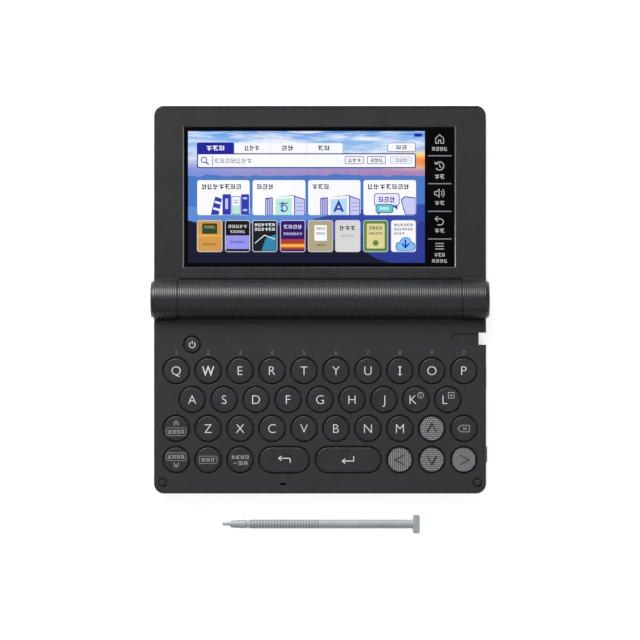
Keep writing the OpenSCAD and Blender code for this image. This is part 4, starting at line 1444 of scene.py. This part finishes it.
outline([(-0.7, 33.9), (-1.8, 34.9), (-0.7, 35.9)], width=0.3)
for y in (44.7, 45.8, 46.9):
    outline([(-1.7, y), (1.7, y)], width=0.32)
ICON_LABELS = ((6.2, 7.9, 3.2), (17.1, 19.1, 2.1), (27.7, 29.5, 2.1), (38.7, 40.5, 2.1),
               (48.4, 50.1, 2.2), (50.9, 52.4, 3.2))
for y0, y1, half in ICON_LABELS:
    words("icon_grey", ICON_X - half, ICON_X + half, y0, y1, 0)

# %% [markdown]
# ### Making the screen's pieces
# Every gathered colour becomes one piece with its own lit material.

# %% Screen pieces
SCREEN_COLOURS = {
    "far_hills": "#4878c6", "mist": "#5a8cd6", "near_hills": "#2f49aa", "slope": "#2a3894",
    "dark_ridge": "#11122e", "navy": "#1c1e9a", "paper": "#fafbff", "writing": "#22243a",
    "placeholder": "#9a9cb0", "pale_button": "#e9eaf6", "lilac_edge": "#b9bce0", "book_blue": "#3038b0",
    "lavender": "#c9ccf2", "mint": "#b5ecd9", "sky_page": "#b8dcf8", "bubble": "#eceafc", "teal": "#5cc9c4",
    "cover_edge": "#cfcfd8", "ochre": "#d49a4a", "ink_black": "#101014", "night_green": "#101a20",
    "plum": "#2a1070", "khaki": "#b0a684", "pale_grey": "#d8d8d6", "leaf_green": "#5a8a3a",
    "bottle_green": "#1d4a34", "sun_yellow": "#f0b63a", "periwinkle": "#9a96ee", "teal_blue": "#2f86b0",
    "brick": "#b83a30", "cream": "#e0d498", "cloud_blue": "#7cc0f8", "icon_grey": "#b8b8ba",
    "rule_grey": "#8a8a8e"}
missing = sorted(set(inks) - set(SCREEN_COLOURS))
assert not missing, "screen colours without a value: " + ", ".join(missing)
for colour, bm in inks.items():
    make_piece(bm, "screen_" + colour, lit("lit_" + colour, SCREEN_COLOURS[colour]), "lid",
               smooth=20)
print("screen colours:", len(inks))

# %% [markdown]
# ## Stylus
# A turned plastic pen with a fine tip, a nose, a groove, a grip of two dozen fine rings and a flat T-shaped
# head that catches in the notch of the case. Shaft and head are joined with a boolean union, so the pen is
# one solid. The grooves between the rings get a darker grey: painted shade, for the shade that falls in
# them.

# %% Stylus
pen_low, pen_high = box_mm("stylus")
pen_y = (pen_low.y + pen_high.y) / 2
pen_z = (pen_low.z + pen_high.z) / 2
PEN_RADIUS = 1.85
HEAD_THICK = 2.65
RING_PITCH = 1.15
RING_COUNT = 24
RING_DEPTH = 0.06
GRIP_START = 11.5
tip = pen_low.x
NOSE = ((0, 0), (0, 0.35), (0.12, 0.58), (0.35, 0.72), (3.1, 0.78), (3.3, 0.9), (3.3, 1.35), (3.45, 1.5),
        (8.8, 1.82), (9.55, 1.82), (9.7, 1.7), (9.75, 1.52), (10.6, 1.52), (10.65, 1.7), (10.85, PEN_RADIUS))
section = [(tip + x, r) for x, r in NOSE]
for i in range(RING_COUNT):
    x = tip + GRIP_START + i * RING_PITCH
    groove = PEN_RADIUS - RING_DEPTH
    section += [(x, PEN_RADIUS), (x + 0.12, groove), (x + 0.4, groove), (x + 0.52, PEN_RADIUS)]
head_x = pen_high.x - HEAD_THICK
section += [(head_x - 2.1, PEN_RADIUS), (head_x - 2.0, PEN_RADIUS - 0.1), (head_x - 1.2, PEN_RADIUS - 0.1),
            (head_x - 1.1, PEN_RADIUS), (head_x + 0.8, PEN_RADIUS), (head_x + 0.8, 0)]
points = [Vector((x, pen_y + r, pen_z)) for x, r in section]
shaft = spun(points, (0, pen_y, pen_z), (1, 0, 0), steps=40)
head = soft_block(head_x, pen_low.y, pen_high.x, pen_high.y, pen_low.z, pen_high.z, corner=0.5, low_edge=0.4,
                  high_edge=0.4)
pen = combined(shaft, head, "UNION")
print("stylus faces:", len(pen.faces), "open edges:", len(open_edges(pen)))
pen_piece = make_piece(pen, "stylus_pen", stylus_plastic, "stylus", ["stylus"],
                       weighted=True)


def in_groove(at, normal):
    in_rings = tip + GRIP_START - 0.5 < at.x < tip + GRIP_START + RING_COUNT * RING_PITCH
    return in_rings and math.hypot(at.y - pen_y, at.z - pen_z) < PEN_RADIUS - RING_DEPTH / 2


# Faces inside the ring grooves get the darker grey: painted shade.
second_finish(pen_piece, stylus_groove, in_groove)

# %% [markdown]
# ## Floor
# A plain pale sheet, just below the feet, lit a little from behind as a light table is, so that shadows
# stay faint.

# %% Floor
FLOOR_HALF = 2000.0
FLOOR_DROP = 0.0001
FLOOR_GLOW = 0.68
floor_bm = bmesh.new()
bmesh.ops.create_grid(floor_bm, x_segments=1, y_segments=1, size=FLOOR_HALF * MM)
bmesh.ops.translate(floor_bm, verts=floor_bm.verts, vec=(0, 0, -FLOOR_DROP))
floor_mesh = bpy.data.meshes.new("floor")
floor_bm.to_mesh(floor_mesh)
floor_bm.free()
floor_paper, t, shader = new_material("floor_paper")
paper_noise = t.add("ShaderNodeTexNoise", Vector=t.add("ShaderNodeTexCoord").outputs["Object"], Scale=3.0)
t.put(shader, "Base Color", t.mix(paper_noise.outputs["Fac"], linear("#f4f4f4"), linear("#fafafa")))
t.put(shader, "Roughness", 0.9)
t.put(shader, "Specular IOR Level", 0.2)
t.put(shader, "Emission Color", (1, 1, 1, 1))
t.put(shader, "Emission Strength", FLOOR_GLOW)
floor_mesh.materials.append(floor_paper)
floor = bpy.data.objects.new("floor", floor_mesh)
scene.collection.objects.link(floor)
